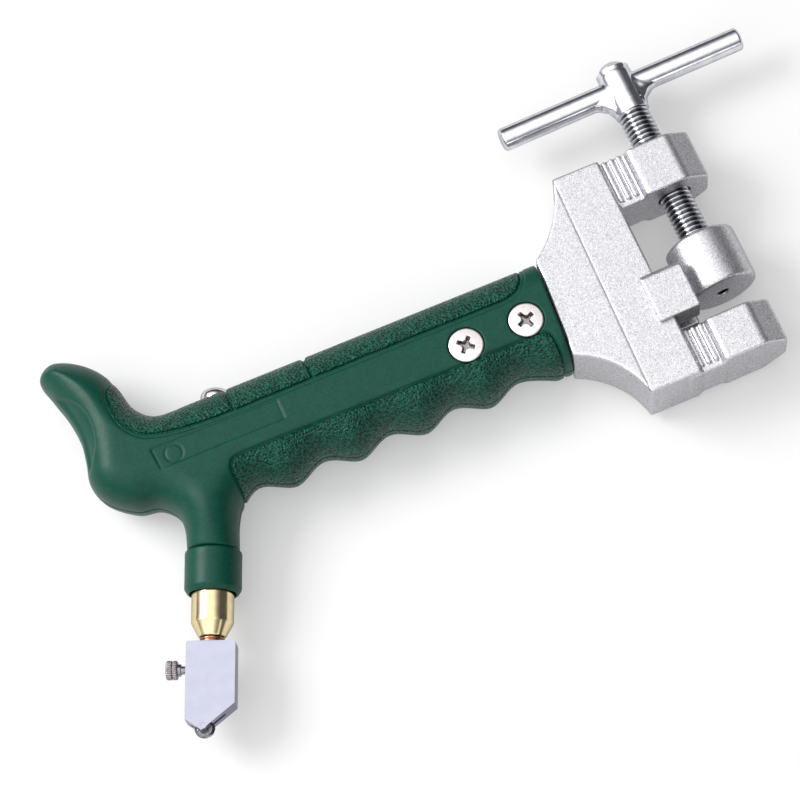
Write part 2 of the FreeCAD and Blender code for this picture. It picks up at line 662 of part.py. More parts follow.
def main():
    os.makedirs("parts", exist_ok=True)
    handle_front, handle_back = handle_halves()
    nodes = {
        "head_frame": head_frame(),
        "breaking_bar": breaking_bar(),
        "handle_front": handle_front,
        "handle_back": handle_back,
        "neck_collar": neck_collar(),
        "ferrule": ferrule(),
        "oil_tube": oil_tube(),
        "oil_wick": oil_wick(),
        "filler_plug": filler_plug(),
        "filler_plug_seal": filler_plug_seal(),
        "cutter_block": cutter_block(),
        "swivel_post": swivel_post(),
        "post_seal_ring": post_seal_ring(),
        "wheel_axle": wheel_axle(),
        "cutting_wheel": cutting_wheel(),
        "lock_screw": lock_screw(),
        "clamp_screw": clamp_screw(),
        "tee_bar": tee_bar(),
        "tee_bar_welds": tee_bar_welds(),
        "foot_retaining_clip": foot_retaining_clip(),
        "pressure_foot": pressure_foot(),
    }
    for name in SCREW_CENTRES:
        nodes["handle_screw_" + name] = handle_screw(name)
        nodes["handle_nut_" + name] = handle_nut(name)
    origin = tool_centre()
    print("origin", origin)
    for name, shape in nodes.items():
        placed = shape.translated(-origin)
        placed.exportStep("parts/" + name + ".step")
        box = placed.BoundBox
        print(f"{name:22s} valid {placed.isValid()} solids {len(placed.Solids)}"
              f" volume {placed.Volume:9.1f}"
              f"  x {box.XMin:7.2f} {box.XMax:7.2f}  y {box.YMin:7.2f} {box.YMax:7.2f}"
              f"  z {box.ZMin:6.2f} {box.ZMax:6.2f}")


main()
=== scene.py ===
import math
from contextlib import contextmanager

import bmesh
import bpy
import numpy as np
from mathutils import Matrix, Vector


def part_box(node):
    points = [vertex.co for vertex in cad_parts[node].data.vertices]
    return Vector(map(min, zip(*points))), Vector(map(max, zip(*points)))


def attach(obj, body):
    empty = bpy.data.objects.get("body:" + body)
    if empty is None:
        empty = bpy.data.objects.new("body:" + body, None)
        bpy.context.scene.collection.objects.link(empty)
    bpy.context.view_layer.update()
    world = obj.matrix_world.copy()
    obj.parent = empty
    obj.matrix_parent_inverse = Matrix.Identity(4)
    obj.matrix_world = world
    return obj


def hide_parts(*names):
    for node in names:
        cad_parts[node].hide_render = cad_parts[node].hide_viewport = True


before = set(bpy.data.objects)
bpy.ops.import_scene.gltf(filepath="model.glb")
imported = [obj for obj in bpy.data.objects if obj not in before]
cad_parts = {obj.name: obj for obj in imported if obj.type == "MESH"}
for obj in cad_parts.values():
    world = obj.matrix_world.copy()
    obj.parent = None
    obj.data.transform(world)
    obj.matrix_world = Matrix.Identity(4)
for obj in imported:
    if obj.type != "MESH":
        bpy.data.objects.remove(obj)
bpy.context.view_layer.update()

# Looks of the glass cutter. Shapes are drawn in the design frame of the CAD source, in
# millimetres: X along the handle, Y along the clamp screw, Z through the thickness with 0 at the
# mid-plane. ORIGIN takes them to the row frame, and follows from where the T-bar lies.
MM = 0.001
CLAMP_X = 83.7
BAR_Y = 52.3


def design_origin():
    low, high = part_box("tee_bar")
    centre = (low + high) / 2 / MM
    return np.array([CLAMP_X - centre.x, BAR_Y - centre.y, -centre.z])


ORIGIN = design_origin()

# Cutter column: y runs up the column, and 0 is at the top of the collar
COLUMN_TOP = (-56.75, -16.6)
COLUMN_TILT = math.radians(23.5)
BLOCK_TOP = -23.0


# -------------------------------- numbers on grids

def smooth_max(a, b, blend):
    """The larger of two fields, with the corner between them rounded over a blend width."""
    mix = np.clip(0.5 + 0.5 * (a - b) / blend, 0, 1)
    return b + (a - b) * mix + blend * mix * (1 - mix)


def smooth_min(a, b, blend):
    return -smooth_max(-a, -b, blend)


def smooth_step(low, high, value):
    t = np.clip((value - low) / (high - low), 0, 1)
    return t * t * (3 - 2 * t)


def to_column(x, y):
    """The column's own coordinates of design points: across it and up it."""
    dx, dy = x - COLUMN_TOP[0], y - COLUMN_TOP[1]
    c, s = math.cos(COLUMN_TILT), math.sin(COLUMN_TILT)
    return dx * c - dy * s, dx * s + dy * c


def from_column(x, y):
    c, s = math.cos(COLUMN_TILT), math.sin(COLUMN_TILT)
    return COLUMN_TOP[0] + x * c + y * s, COLUMN_TOP[1] + y * c - x * s


def curve_through(points, steps=12):
    """Points along a smooth curve through the given ones."""
    p = np.array([points[0]] + list(points) + [points[-1]], float)
    t = np.linspace(0, 1, steps, endpoint=False)[:, None]
    parts = []
    for a, b, c, d in zip(p, p[1:], p[2:], p[3:]):
        parts.append(0.5 * (2 * b + (c - a) * t + (2 * a - 5 * b + 4 * c - d) * t ** 2
                            + (3 * b - a - 3 * c + d) * t ** 3))
    return [tuple(q) for q in np.concatenate(parts)] + [tuple(p[-1])]


def line_distance(x, y, points):
    """Distance from each (x, y) to a polyline."""
    x, y = np.broadcast_arrays(x, y)
    best = np.full(x.shape, 1e9)
    for (ax, ay), (bx, by) in zip(points, points[1:]):
        ex, ey = bx - ax, by - ay
        wx, wy = x - ax, y - ay
        t = np.clip((wx * ex + wy * ey) / max(ex * ex + ey * ey, 1e-12), 0, 1)
        best = np.minimum(best, (wx - ex * t) ** 2 + (wy - ey * t) ** 2)
    return np.sqrt(best)


def inside_polygon(x, y, points):
    x, y = np.broadcast_arrays(x, y)
    inside = np.zeros(x.shape, bool)
    for (ax, ay), (bx, by) in zip(points, points[1:] + points[:1]):
        if ay == by:
            continue
        spans = (ay > y) != (by > y)
        inside ^= spans & (x < (bx - ax) * (y - ay) / (by - ay) + ax)
    return inside


def polygon_field(x, y, points):
    """Signed distance to a polygon, negative inside."""
    distance = line_distance(x, y, list(points) + [points[0]])
    return np.where(inside_polygon(x, y, points), -distance, distance)


class FlatMap:
    """A field of the plane, worked out once on a grid and then read between its points."""

    def __init__(self, field, low, high, step=0.25):
        self.low, self.step = low, step
        xs = np.arange(low[0], high[0] + step, step)
        ys = np.arange(low[1], high[1] + step, step)
        values = field(xs[:, None], ys[None, :])
        padded = np.pad(values, 1, mode="edge")
        self.values = (padded[1:-1, 1:-1] * 4 + padded[:-2, 1:-1] + padded[2:, 1:-1]
                       + padded[1:-1, :-2] + padded[1:-1, 2:]) / 8

    def __call__(self, x, y):
        x, y = np.broadcast_arrays(x, y)
        u = np.clip((x - self.low[0]) / self.step, 1, self.values.shape[0] - 3.001)
        v = np.clip((y - self.low[1]) / self.step, 1, self.values.shape[1] - 3.001)
        i, j = u.astype(int), v.astype(int)
        wu, wv = self.weights(u - i), self.weights(v - j)
        total = np.zeros(x.shape)
        for a in range(4):
            for b in range(4):
                total += wu[a] * wv[b] * self.values[i + a - 1, j + b - 1]
        return total

    @staticmethod
    def weights(t):
        return (((1 - t) ** 3) / 6, (3 * t ** 3 - 6 * t ** 2 + 4) / 6,
                (-3 * t ** 3 + 3 * t ** 2 + 3 * t + 1) / 6, t ** 3 / 6)


CORNERS = [(i, j, k) for i in (0, 1) for j in (0, 1) for k in (0, 1)]
CELL_EDGES = [(a, b) for a in range(8) for b in range(a + 1, 8)
              if sum(abs(p - q) for p, q in zip(CORNERS[a], CORNERS[b])) == 1]


def surface_net(field, low, high, step):
    """Points and quads of the surface where field(x, y, z) is 0. The field is negative inside."""
    axes = [np.arange(a - 1.5 * step, b + 2.5 * step, step) for a, b in zip(low, high)]
    grid = field(axes[0][:, None, None], axes[1][None, :, None], axes[2][None, None, :])
    grid = np.ascontiguousarray(np.broadcast_to(grid, [len(a) for a in axes]))
    inside = grid < 0
    shape = [n - 1 for n in grid.shape]
    count = np.zeros(shape, np.int8)
    for i, j, k in CORNERS:
        count += inside[i:i + shape[0], j:j + shape[1], k:k + shape[2]]
    cells = np.argwhere((count > 0) & (count < 8))
    index = np.full(shape, -1, np.int64)
    index[tuple(cells.T)] = np.arange(len(cells))
    values = np.stack([grid[tuple((cells + c).T)] for c in CORNERS], 1)
    total, crossings = np.zeros((len(cells), 3)), np.zeros(len(cells))
    for a, b in CELL_EDGES:
        va, vb = values[:, a], values[:, b]
        crossed = (va < 0) != (vb < 0)
        t = np.where(crossed, va / np.where(crossed, va - vb, 1), 0)
        pa, pb = np.array(CORNERS[a], float), np.array(CORNERS[b], float)
        total += np.where(crossed[:, None], pa + (pb - pa) * t[:, None], 0)
        crossings += crossed
    start = np.array([axis[0] for axis in axes])
    points = start + step * (cells + total / crossings[:, None])
    points = settle(field, points, step)
    return points, net_faces(inside, index)


def net_faces(inside, index):
    """One quad across each grid edge where the sign changes, facing outwards."""
    faces = []
    for axis in range(3):
        low = np.take(inside, range(inside.shape[axis] - 1), axis)
        high = np.take(inside, range(1, inside.shape[axis]), axis)
        where = np.argwhere(low != high)
        one, two = (axis + 1) % 3, (axis + 2) % 3
        where = where[(where[:, one] > 0) & (where[:, two] > 0)]
        where = where[(where[:, one] < inside.shape[one] - 1)
                      & (where[:, two] < inside.shape[two] - 1)]
        quad = []
        for d1, d2 in ((1, 1), (0, 1), (0, 0), (1, 0)):
            cell = where.copy()
            cell[:, one] -= d1
            cell[:, two] -= d2
            quad.append(index[tuple(cell.T)])
        quad = np.stack(quad, 1)
        flip = ~low[tuple(where.T)]
        quad[flip] = quad[flip][:, ::-1]
        faces.append(quad)
    return np.concatenate(faces)


def settle(field, points, step, rounds=4):
    """Moves points along the field's slope until they lie on its surface."""
    start = points.copy()
    eps = step * 0.08
    for _ in range(rounds):
        here = field(*points.T)
        slope = np.stack([(field(*(points + d).T) - field(*(points - d).T)) / (2 * eps)
                          for d in np.eye(3) * eps], 1)
        size = np.maximum((slope ** 2).sum(1), 0.05)
        move = -(here / size)[:, None] * slope
        length = np.linalg.norm(move, axis=1)[:, None]
        points = points + move * np.minimum(1, step * 0.5 / np.maximum(length, 1e-9))
    drift = np.linalg.norm(points - start, axis=1)
    return np.where((drift < 1.5 * step)[:, None], points, start)


# -------------------------------- meshes and pieces

def to_row(points):
    return (np.asarray(points, float) - ORIGIN) * MM


def shade_smooth(mesh):
    mesh.polygons.foreach_set("use_smooth", [True] * len(mesh.polygons))


def new_mesh(name, points, faces):
    """A mesh from design points, in millimetres, with faces as lists of indices."""
    mesh = bpy.data.meshes.new(name)
    if isinstance(faces, np.ndarray):
        mesh.vertices.add(len(points))
        mesh.vertices.foreach_set("co", to_row(points).astype(np.float32).ravel())
        mesh.loops.add(faces.size)
        mesh.loops.foreach_set("vertex_index", faces.astype(np.int32).ravel())
        mesh.polygons.add(len(faces))
        starts = np.arange(len(faces), dtype=np.int32) * faces.shape[1]
        mesh.polygons.foreach_set("loop_start", starts)
        mesh.update(calc_edges=True)
    else:
        mesh.from_pydata([tuple(p) for p in to_row(points)], [], [tuple(f) for f in faces])
    mesh.validate()
    shade_smooth(mesh)
    return mesh


@contextmanager
def editing(mesh):
    """A mesh in its editable form, written back when the block ends."""
    work = bmesh.new()
    work.from_mesh(mesh)
    yield work
    work.to_mesh(mesh)
    work.free()


def add_piece(node, mesh, body, finish):
    """Shows a mesh in place of a CAD node, on the body that the node belongs to."""
    mesh.name = node + "_skin"
    piece = bpy.data.objects.new(node + "_skin", mesh)
    bpy.context.scene.collection.objects.link(piece)
    mesh.materials.clear()
    mesh.materials.append(MATERIALS[finish])
    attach(piece, body)
    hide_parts(node)
    return piece


def mark(mesh, name, value):
    """Gives a mesh a value at each point, from its design coordinates."""
    flat = np.empty(len(mesh.vertices) * 3, np.float32)
    mesh.vertices.foreach_get("co", flat)
    design = flat.reshape(-1, 3) / MM + ORIGIN
    attribute = mesh.attributes.new(name, "FLOAT", "POINT")
    attribute.data.foreach_set("value", value(*design.T).astype(np.float32))


def weighted_normals(piece):
    modifier = piece.modifiers.new("normals", "WEIGHTED_NORMAL")
    modifier.keep_sharp = True
    modifier.weight = 80


def join_meshes(name, meshes):
    """One mesh out of several. The others are dropped."""
    joined = bmesh.new()
    for mesh in meshes:
        joined.from_mesh(mesh)
        bpy.data.meshes.remove(mesh)
    mesh = bpy.data.meshes.new(name)
    joined.to_mesh(mesh)
    joined.free()
    return mesh


def softened(profile, radius, steps=3):
    """A profile of (radius, height) points with its inner corners rounded off."""
    points = [profile[0]]
    for a, b, c in zip(profile, profile[1:], profile[2:]):
        a, b, c = (np.array(p, float) for p in (a, b, c))
        reach = min(radius, 0.45 * np.linalg.norm(a - b), 0.45 * np.linalg.norm(c - b))
        start = b + (a - b) / np.linalg.norm(a - b) * reach
        end = b + (c - b) / np.linalg.norm(c - b) * reach
        for k in range(steps + 1):
            t = k / steps
            points.append(tuple((1 - t) ** 2 * start + 2 * t * (1 - t) * b + t * t * end))
    return points + [profile[-1]]


def lathe(name, profile, place, segments=96, radius_at=None):
    """A turned mesh about Y. place takes (x, y, z) arrays to the design frame.
    radius_at(radius, angle, height) can change the radius round the turn."""
    angles = np.arange(segments) * 2 * math.pi / segments
    points, faces = [], []
    for radius, height in profile:
        if radius_at is None:
            ring = np.full(segments, radius)
        else:
            ring = radius_at(radius, angles, height)
        points.append(np.stack([ring * np.cos(angles), np.full(segments, height),
                                ring * np.sin(angles)], 1))
    last = len(profile) - 1
    for row in range(last):
        for k in range(segments):
            a, b = row * segments + k, row * segments + (k + 1) % segments
            faces.append((a, a + segments, b + segments, b))
    points = np.concatenate(points)
    closed = profile[0] == profile[-1]
    if closed:
        faces = [tuple(i % (last * segments) for i in face) for face in faces]
        points = points[:last * segments]
    else:
        faces.append(tuple(range(segments)))
        faces.append(tuple(last * segments + k for k in reversed(range(segments))))
    mesh = new_mesh(name, np.stack(place(*points.T), 1), faces)
    with editing(mesh) as work:
        bmesh.ops.recalc_face_normals(work, faces=work.faces)
    return mesh


def on_column(x, y, z):
    px, py = from_column(x, y)
    return px, py, z


def on_clamp(x, y, z):
    return CLAMP_X + x, y, z


def bevelled(node, body, finish, width):
    """A copy of a CAD node with its facets joined and its sharp edges rounded."""
    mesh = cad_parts[node].data.copy()
    with editing(mesh) as work:
        bmesh.ops.remove_doubles(work, verts=work.verts, dist=1e-6)
        bmesh.ops.dissolve_limit(work, angle_limit=math.radians(1), verts=work.verts,
                                 edges=work.edges)
    shade_smooth(mesh)
    piece = add_piece(node, mesh, body, finish)
    bevel = piece.modifiers.new("edges", "BEVEL")
    bevel.width = width * MM
    bevel.segments = 3
    bevel.limit_method = "ANGLE"
    bevel.angle_limit = math.radians(25)
    bevel.use_clamp_overlap = True
    weighted_normals(piece)


# -------------------------------- materials

def new_material(name):
    material = bpy.data.materials.new(name)
    material.use_nodes = True
    tree = material.node_tree
    tree.nodes.clear()
    output = tree.nodes.new("ShaderNodeOutputMaterial")
    shader = tree.nodes.new("ShaderNodeBsdfPrincipled")
    tree.links.new(shader.outputs[0], output.inputs["Surface"])
    return material, tree, shader


def texture(tree, kind, size_mm):
    """A texture node on object coordinates, with features of a size."""
    node = tree.nodes.new(kind)
    node.inputs["Scale"].default_value = 1 / (size_mm * MM)
    coordinates = tree.nodes.new("ShaderNodeTexCoord")
    tree.links.new(coordinates.outputs["Object"], node.inputs["Vector"])
    return node


def noise(tree, size_mm, detail=2):
    node = texture(tree, "ShaderNodeTexNoise", size_mm)
    node.inputs["Detail"].default_value = detail
    return node.outputs["Fac"]


def attribute(tree, name):
    """A value that mark() gave to the mesh. It is 0 on a mesh without it."""
    node = tree.nodes.new("ShaderNodeAttribute")
    node.attribute_name = name
    return node.outputs["Fac"]


def ramp(tree, value, stops):
    node = tree.nodes.new("ShaderNodeValToRGB")
    while len(node.color_ramp.elements) < len(stops):
        node.color_ramp.elements.new(0.5)
    for element, (position, colour) in zip(node.color_ramp.elements, stops):
        element.position = position
        element.color = tuple(colour) + (1,)
    tree.links.new(value, node.inputs["Fac"])
    return node.outputs["Color"]


def spread(tree, value, low, high, out_low, out_high):
    node = tree.nodes.new("ShaderNodeMapRange")
    for key, number in (("From Min", low), ("From Max", high), ("To Min", out_low),
                        ("To Max", out_high)):
        node.inputs[key].default_value = number
    tree.links.new(value, node.inputs["Value"])
    return node.outputs["Result"]


def drift(tree, size_mm, detail, low, high):
    """A value that wanders between two limits over the surface."""
    return spread(tree, noise(tree, size_mm, detail), 0.3, 0.7, low, high)


def mottled(tree, size_mm, detail, dark, light):
    """A colour that wanders between two tones over the surface."""
    return ramp(tree, noise(tree, size_mm, detail), [(0.3, dark), (0.7, light)])


def calculate(tree, operation, *values):
    """A sum on values that are numbers or the outputs of other nodes."""
    node = tree.nodes.new("ShaderNodeMath")
    node.operation = operation
    for socket, value in zip(node.inputs, values):
        if isinstance(value, float):
            socket.default_value = value
        else:
            tree.links.new(value, socket)
    return node.outputs[0]


def blend(tree, amount, a, b):
    """Goes from value a to value b as the amount goes from 0 to 1."""
    node = tree.nodes.new("ShaderNodeMix")
    for socket, value in zip((0, 2, 3), (amount, a, b)):
        tree.links.new(value, node.inputs[socket])
    return node.outputs[0]


def shaded(tree, colour, factor):
    """A colour made darker or lighter by a varying factor."""
    node = tree.nodes.new("ShaderNodeVectorMath")
    node.operation = "SCALE"
    tree.links.new(colour, node.inputs[0])
    tree.links.new(factor, node.inputs["Scale"])
    return node.outputs[0]


def bump(tree, shader, height, depth_mm):
    """Adds relief of a depth to the shader, on top of what it already has."""
    node = tree.nodes.new("ShaderNodeBump")
    node.inputs["Strength"].default_value = 1.0
    node.inputs["Distance"].default_value = depth_mm * MM
    tree.links.new(height, node.inputs["Height"])
    if shader.inputs["Normal"].is_linked:
        earlier = shader.inputs["Normal"].links[0].from_socket
        tree.links.new(earlier, node.inputs["Normal"])
    tree.links.new(node.outputs[0], shader.inputs["Normal"])


def metal(name, dark, light, roughness, size_mm=1.0, relief=0.01, hollow_shade=0.15):
    """A bare or plated metal whose tone and gloss vary a little, and darker where the mesh has
    hollows: painted shade, which scales the base colour down by a given factor there."""
    material, tree, shader = new_material(name)
    shader.inputs["Metallic"].default_value = 1.0
    shader.inputs["Specular Tint"].default_value = (0.55, 0.55, 0.57, 1)
    # Painted shade: the mesh's hollow value darkens the base colour, down to the given factor at 1.
    colour = shaded(tree, mottled(tree, size_mm, 3, dark, light),
                    spread(tree, attribute(tree, "hollow"), 0, 1, 1, hollow_shade))
    tree.links.new(colour, shader.inputs["Base Color"])
    tree.links.new(drift(tree, size_mm * 2.3, 3, *roughness), shader.inputs["Roughness"])
    if relief:
        bump(tree, shader, noise(tree, size_mm * 0.35, 3), relief)
    return material


def green_plastic(name, grained):
    """Moulded green plastic: faintly mottled, and leather-grained where the mesh says so, with
    painted shade darkening the grain's pits and lightening its tops.
    """
    material, tree, shader = new_material(name)
    tone = mottled(tree, 2.2, 4, (0.0010, 0.042, 0.027), (0.0016, 0.050, 0.032))
    speckle_and_pit_shade = drift(tree, 0.26, 2, 0.72, 1.28)
    gloss = drift(tree, 0.9, 3, 0.36, 0.44)
    shader.inputs["Specular IOR Level"].default_value = 0.2
    bump(tree, shader, noise(tree, 0.26), 0.03)
    if grained:
        mask = attribute(tree, "grain")
        cells = texture(tree, "ShaderNodeTexVoronoi", 0.66).outputs["Distance"]
        height = calculate(tree, "MULTIPLY_ADD", noise(tree, 0.35), 0.6, cells)
        # Painted shade: the grain's pits darken the base colour and its tops lighten it, on top of
        # the random speckle.
        speckle_and_pit_shade = blend(tree, mask, speckle_and_pit_shade, spread(tree, height, 0.42, 0.95, 0.1, 1.4))
        gloss = blend(tree, mask, gloss, spread(tree, height, 0.40, 0.95, 0.48, 0.24))
        bump(tree, shader, calculate(tree, "MULTIPLY", height, mask), 0.45)
    tree.links.new(shaded(tree, tone, speckle_and_pit_shade), shader.inputs["Base Color"])
    tree.links.new(gloss, shader.inputs["Roughness"])
    return material


def cast_paint():
    """Silver paint with fine sparkle over a die casting."""
    material, tree, shader = new_material("silver_cast_paint")
    flakes = texture(tree, "ShaderNodeTexVoronoi", 0.21).outputs["Color"]
    tone = ramp(tree, flakes, [(0.0, (0.32, 0.315, 0.335)), (0.4, (0.56, 0.555, 0.58)),
                               (0.85, (0.71, 0.705, 0.73)), (1.0, (0.95, 0.95, 0.97))])
    # Painted shade: the base colour darkens along the marked line where the web meets the flare.
    crease_shade = spread(tree, attribute(tree, "hollow"), 0, 1, 1, 0.25)
    tree.links.new(shaded(tree, tone, crease_shade), shader.inputs["Base Color"])
    shader.inputs["Metallic"].default_value = 0.85
    shader.inputs["Specular Tint"].default_value = (0.6, 0.6, 0.62, 1)
    tree.links.new(drift(tree, 0.35, 2, 0.25, 0.34), shader.inputs["Roughness"])
    bump(tree, shader, noise(tree, 0.24), 0.06)
    return material


def floor_paper():
    """Pale floor, lit a little from below like a light table."""
    material, tree, shader = new_material("pale_floor")
    colour = ramp(tree, noise(tree, 40), [(0.0, (0.43, 0.43, 0.43)), (1.0, (0.45, 0.45, 0.45))])
    tree.links.new(colour, shader.inputs["Base Color"])
    shader.inputs["Roughness"].default_value = 0.9
    shader.inputs["Emission Color"].default_value = (1, 1, 1, 1)
    shader.inputs["Emission Strength"].default_value = 0.32
    return material


MATERIALS = {
    "handle": green_plastic("green_handle_plastic", True),
    "collar": green_plastic("green_collar_plastic", False),
    "casting": cast_paint(),
    "zinc": metal("bright_zinc", (0.60, 0.61, 0.65), (0.76, 0.77, 0.81), (0.12, 0.22), 2.0, 0.006),
    "nickel": metal("polished_nickel", (0.385, 0.39, 0.475), (0.41, 0.415, 0.505), (0.16, 0.22),
                    3.0, 0.0),
    "chrome": metal("plug_chrome", (0.60, 0.57, 0.57), (0.70, 0.67, 0.67), (0.06, 0.14), 2.0,
                    0.0),
    # The cross recess of these screws gets painted shade, down to 0.42 of the colour.
    "screw_face": metal("handle_screw_plate", (0.66, 0.61, 0.60), (0.78, 0.73, 0.72),
                        (0.30, 0.42), 0.8, 0.012, hollow_shade=0.42),
    "brass": metal("polished_brass", (0.70, 0.57, 0.32), (0.80, 0.67, 0.42), (0.14, 0.24), 2.0,
                   0.0),
    "copper": metal("copper", (0.36, 0.17, 0.10), (0.48, 0.25, 0.16), (0.25, 0.4), 0.8),
    "lock": metal("lock_screw_zinc", (0.24, 0.22, 0.23), (0.40, 0.37, 0.38), (0.22, 0.34), 0.7),
    "steel": metal("dark_steel", (0.05, 0.05, 0.055), (0.12, 0.12, 0.125), (0.22, 0.38), 0.9),
    "carbide": metal("carbide", (0.16, 0.16, 0.17), (0.26, 0.26, 0.27), (0.2, 0.3), 0.5),
}


def soft_material(name, dark, light, size_mm, relief):
    material, tree, shader = new_material(name)
    tree.links.new(mottled(tree, size_mm, 4, dark, light), shader.inputs["Base Color"])
    shader.inputs["Roughness"].default_value = 0.85
    bump(tree, shader, noise(tree, size_mm * 0.5, 3), relief)
    return material


MATERIALS["felt"] = soft_material("wick_felt", (0.55, 0.5, 0.42), (0.7, 0.66, 0.58), 0.4, 0.08)
MATERIALS["rubber"] = soft_material("seal_rubber", (0.012, 0.012, 0.012), (0.03, 0.03, 0.03),
                                    0.6, 0.01)

# -------------------------------- handle

HANDLE_HALF = 11.0
NECK_HALF = 6.4
HANDLE_END_TOP = (43.7, 17.1)
HANDLE_END_LOW = (41.8, -10.9)
GRIP_TOP_LEFT = (-52.0, 19.9)
FINGER_PITCH = 17.2
FINGER_COUNT = 5
FINGER_FIRST_X = -40.1
FINGER_TOP_Y = -5.4
FINGER_BUMP_Y = -8.9
FINGER_DROP = 0.5
LAST_BUMP_RUN = 4.2        # straight length between the last groove and the casting
THUMB_POINTS = [(-57.1, 21.0), (-60.7, 25.2), (-62.2, 31.7), (-64.9, 37.5), (-69.6, 42.1),
                (-75.1, 44.3), (-79.3, 41.5), (-78.2, 35.8), (-76.5, 29.1), (-75.9, 22.2),
                (-76.7, 16.5), (-77.8, 10.9), (-75.6, 5.3), (-69.9, 0.5), (-64.5, -1.0),
                (-61.2, -4.9), (-61.0, -9.0)]
NECK_RIGHT_POINTS = [(-48.6, -13.4), (-46.4, -9.4)]
THUMB_THINNING = 5.2
GRIP_ROUNDING = 9.0        # how far in from the outline the grip's face goes on curving
GRIP_POWER = 2.35          # squareness of its cross-section, where 2 is an ellipse
SCREW_CENTRES = {"rear": (19.5, 2.5), "front": (35.4, 2.3)}
RECESS_TURN = {"rear": 49.0, "front": 21.5}
M5_HEAD_RADIUS = 4.4
M5_HEAD_TOP = 11.15
M5_SEAT = 8.6
M5_SEAT_GAP = 0.15
NUT_FLATS = 8.0
NUT_TOP = -6.6
PLUG_POCKET_RADIUS = 4.15
PLUG_POCKET_FLOOR = 35.5
NECK_OVERRUN = 15.0        # the outline runs past its two cut ends, so that they stay flat
HANDLE_STEP = 0.3

STRIP_BORDER = [(-62.8, 33.3), (-65.2, 29.5), (-65.6, 25.7), (-64.9, 20.0), (-62.2, 15.7),
                (-58.6, 13.7), (-51.5, 12.1), (-39.8, 11.1), (-24.0, 10.7), (-2.0, 10.2),
                (18.0, 9.6), (29.0, 9.25), (33.0, 9.25), (35.3, 9.7), (37.0, 10.7), (38.4, 12.6),
                (39.2, 15.6), (39.5, 19.0), (39.6, 24.0)]
STRIP_CLOSING = [(39.6, 60.0), (-62.8, 60.0)]     # closes the border above the grip
BAND_WIDTH = 0.85
FINGER_BORDER = [(-46.6, -12.0), (-45.1, -8.3), (-44.9, -4.2), (-44.7, -2.0), (-43.9, -0.5),
                 (-42.4, 0.15), (-40.0, 0.25), (-34.0, 0.1), (-18.0, -0.5), (0.3, -1.2),
                 (18.0, -1.75), (31.0, -2.0), (36.2, -2.15), (38.2, -2.5), (39.3, -3.6),
                 (39.7, -5.6), (39.8, -9.0), (39.5, -14.0)]
FINGER_CLOSING = [(39.5, -40.0), (-46.6, -40.0)]
NOTCHES = [[(-38.9, 24.0), (-38.3, 11.0)], [(-18.1, 24.0), (-17.6, 10.6)]]
LABEL = [(-60.8, 10.2), (-28.0, 8.8), (-28.0, 4.0), (-60.4, 4.7)]
LABEL_RING = (-56.0, 7.1, 2.2)
SCRATCH_LINE = [(-54.2, -0.7), (-49.7, -0.6)]
SCOOP_DEPTH = 0.7
THUMB_CRESCENT = [(-79.5, 37.0), (-77.0, 34.5), (-72.7, 29.8), (-71.2, 23.7), (-72.5, 17.8),
                  (-75.9, 13.4), (-79.0, 11.5)]
THUMB_CLOSING = [(-90.0, 11.5), (-90.0, 37.0)]

# Width and depth of each groove in the grip's face
STRIP_GROOVE = (0.28, 0.55)
BAND_GROOVE = (0.24, 0.34)
FINGER_GROOVE = (0.3, 0.55)
NOTCH_GROOVE = (0.5, 0.75)
LABEL_GROOVE = (0.2, 0.2)
LABEL_SINK = 0.16
RING_GROOVE = (0.2, 0.22)
SCRATCH_GROOVE = (0.18, 0.1)
PARTING_GROOVE = (0.22, 0.28)


def finger_points():
    points = []
    for index in range(FINGER_COUNT):
        groove_x = FINGER_FIRST_X + index * FINGER_PITCH
        points.append((groove_x, FINGER_TOP_Y - index * FINGER_DROP))
        if index < FINGER_COUNT - 1:
            points.append((groove_x + FINGER_PITCH / 2, FINGER_BUMP_Y - index * FINGER_DROP))
    return points


def handle_outline():
    """The grip's outline, run on past the casting end and past the neck's end."""
    left, right = from_column(-NECK_HALF, 0), from_column(NECK_HALF, 0)
    left_end = from_column(-NECK_HALF, -NECK_OVERRUN)
    right_end = from_column(NECK_HALF, -NECK_OVERRUN)
    last_bump = (HANDLE_END_LOW[0] - LAST_BUMP_RUN, HANDLE_END_LOW[1])
    beyond = HANDLE_END_TOP[0] + NECK_OVERRUN
    slope = (HANDLE_END_TOP[1] - GRIP_TOP_LEFT[1]) / (HANDLE_END_TOP[0] - GRIP_TOP_LEFT[0])
    outline = [(beyond, HANDLE_END_TOP[1] + slope * NECK_OVERRUN), GRIP_TOP_LEFT]
    outline += curve_through([GRIP_TOP_LEFT] + THUMB_POINTS + [left])[1:]
    outline += [left_end, right_end]
    outline += curve_through([right] + NECK_RIGHT_POINTS)
    outline += curve_through([NECK_RIGHT_POINTS[-1]] + finger_points() + [last_bump])[1:]
    outline += [(beyond, HANDLE_END_LOW[1])]
    return [(float(x), float(y)) for x, y in outline]


def groove(distance, width, depth):
    """A round-bottomed groove along a line."""
    return depth * np.exp(-(distance / width) ** 2)


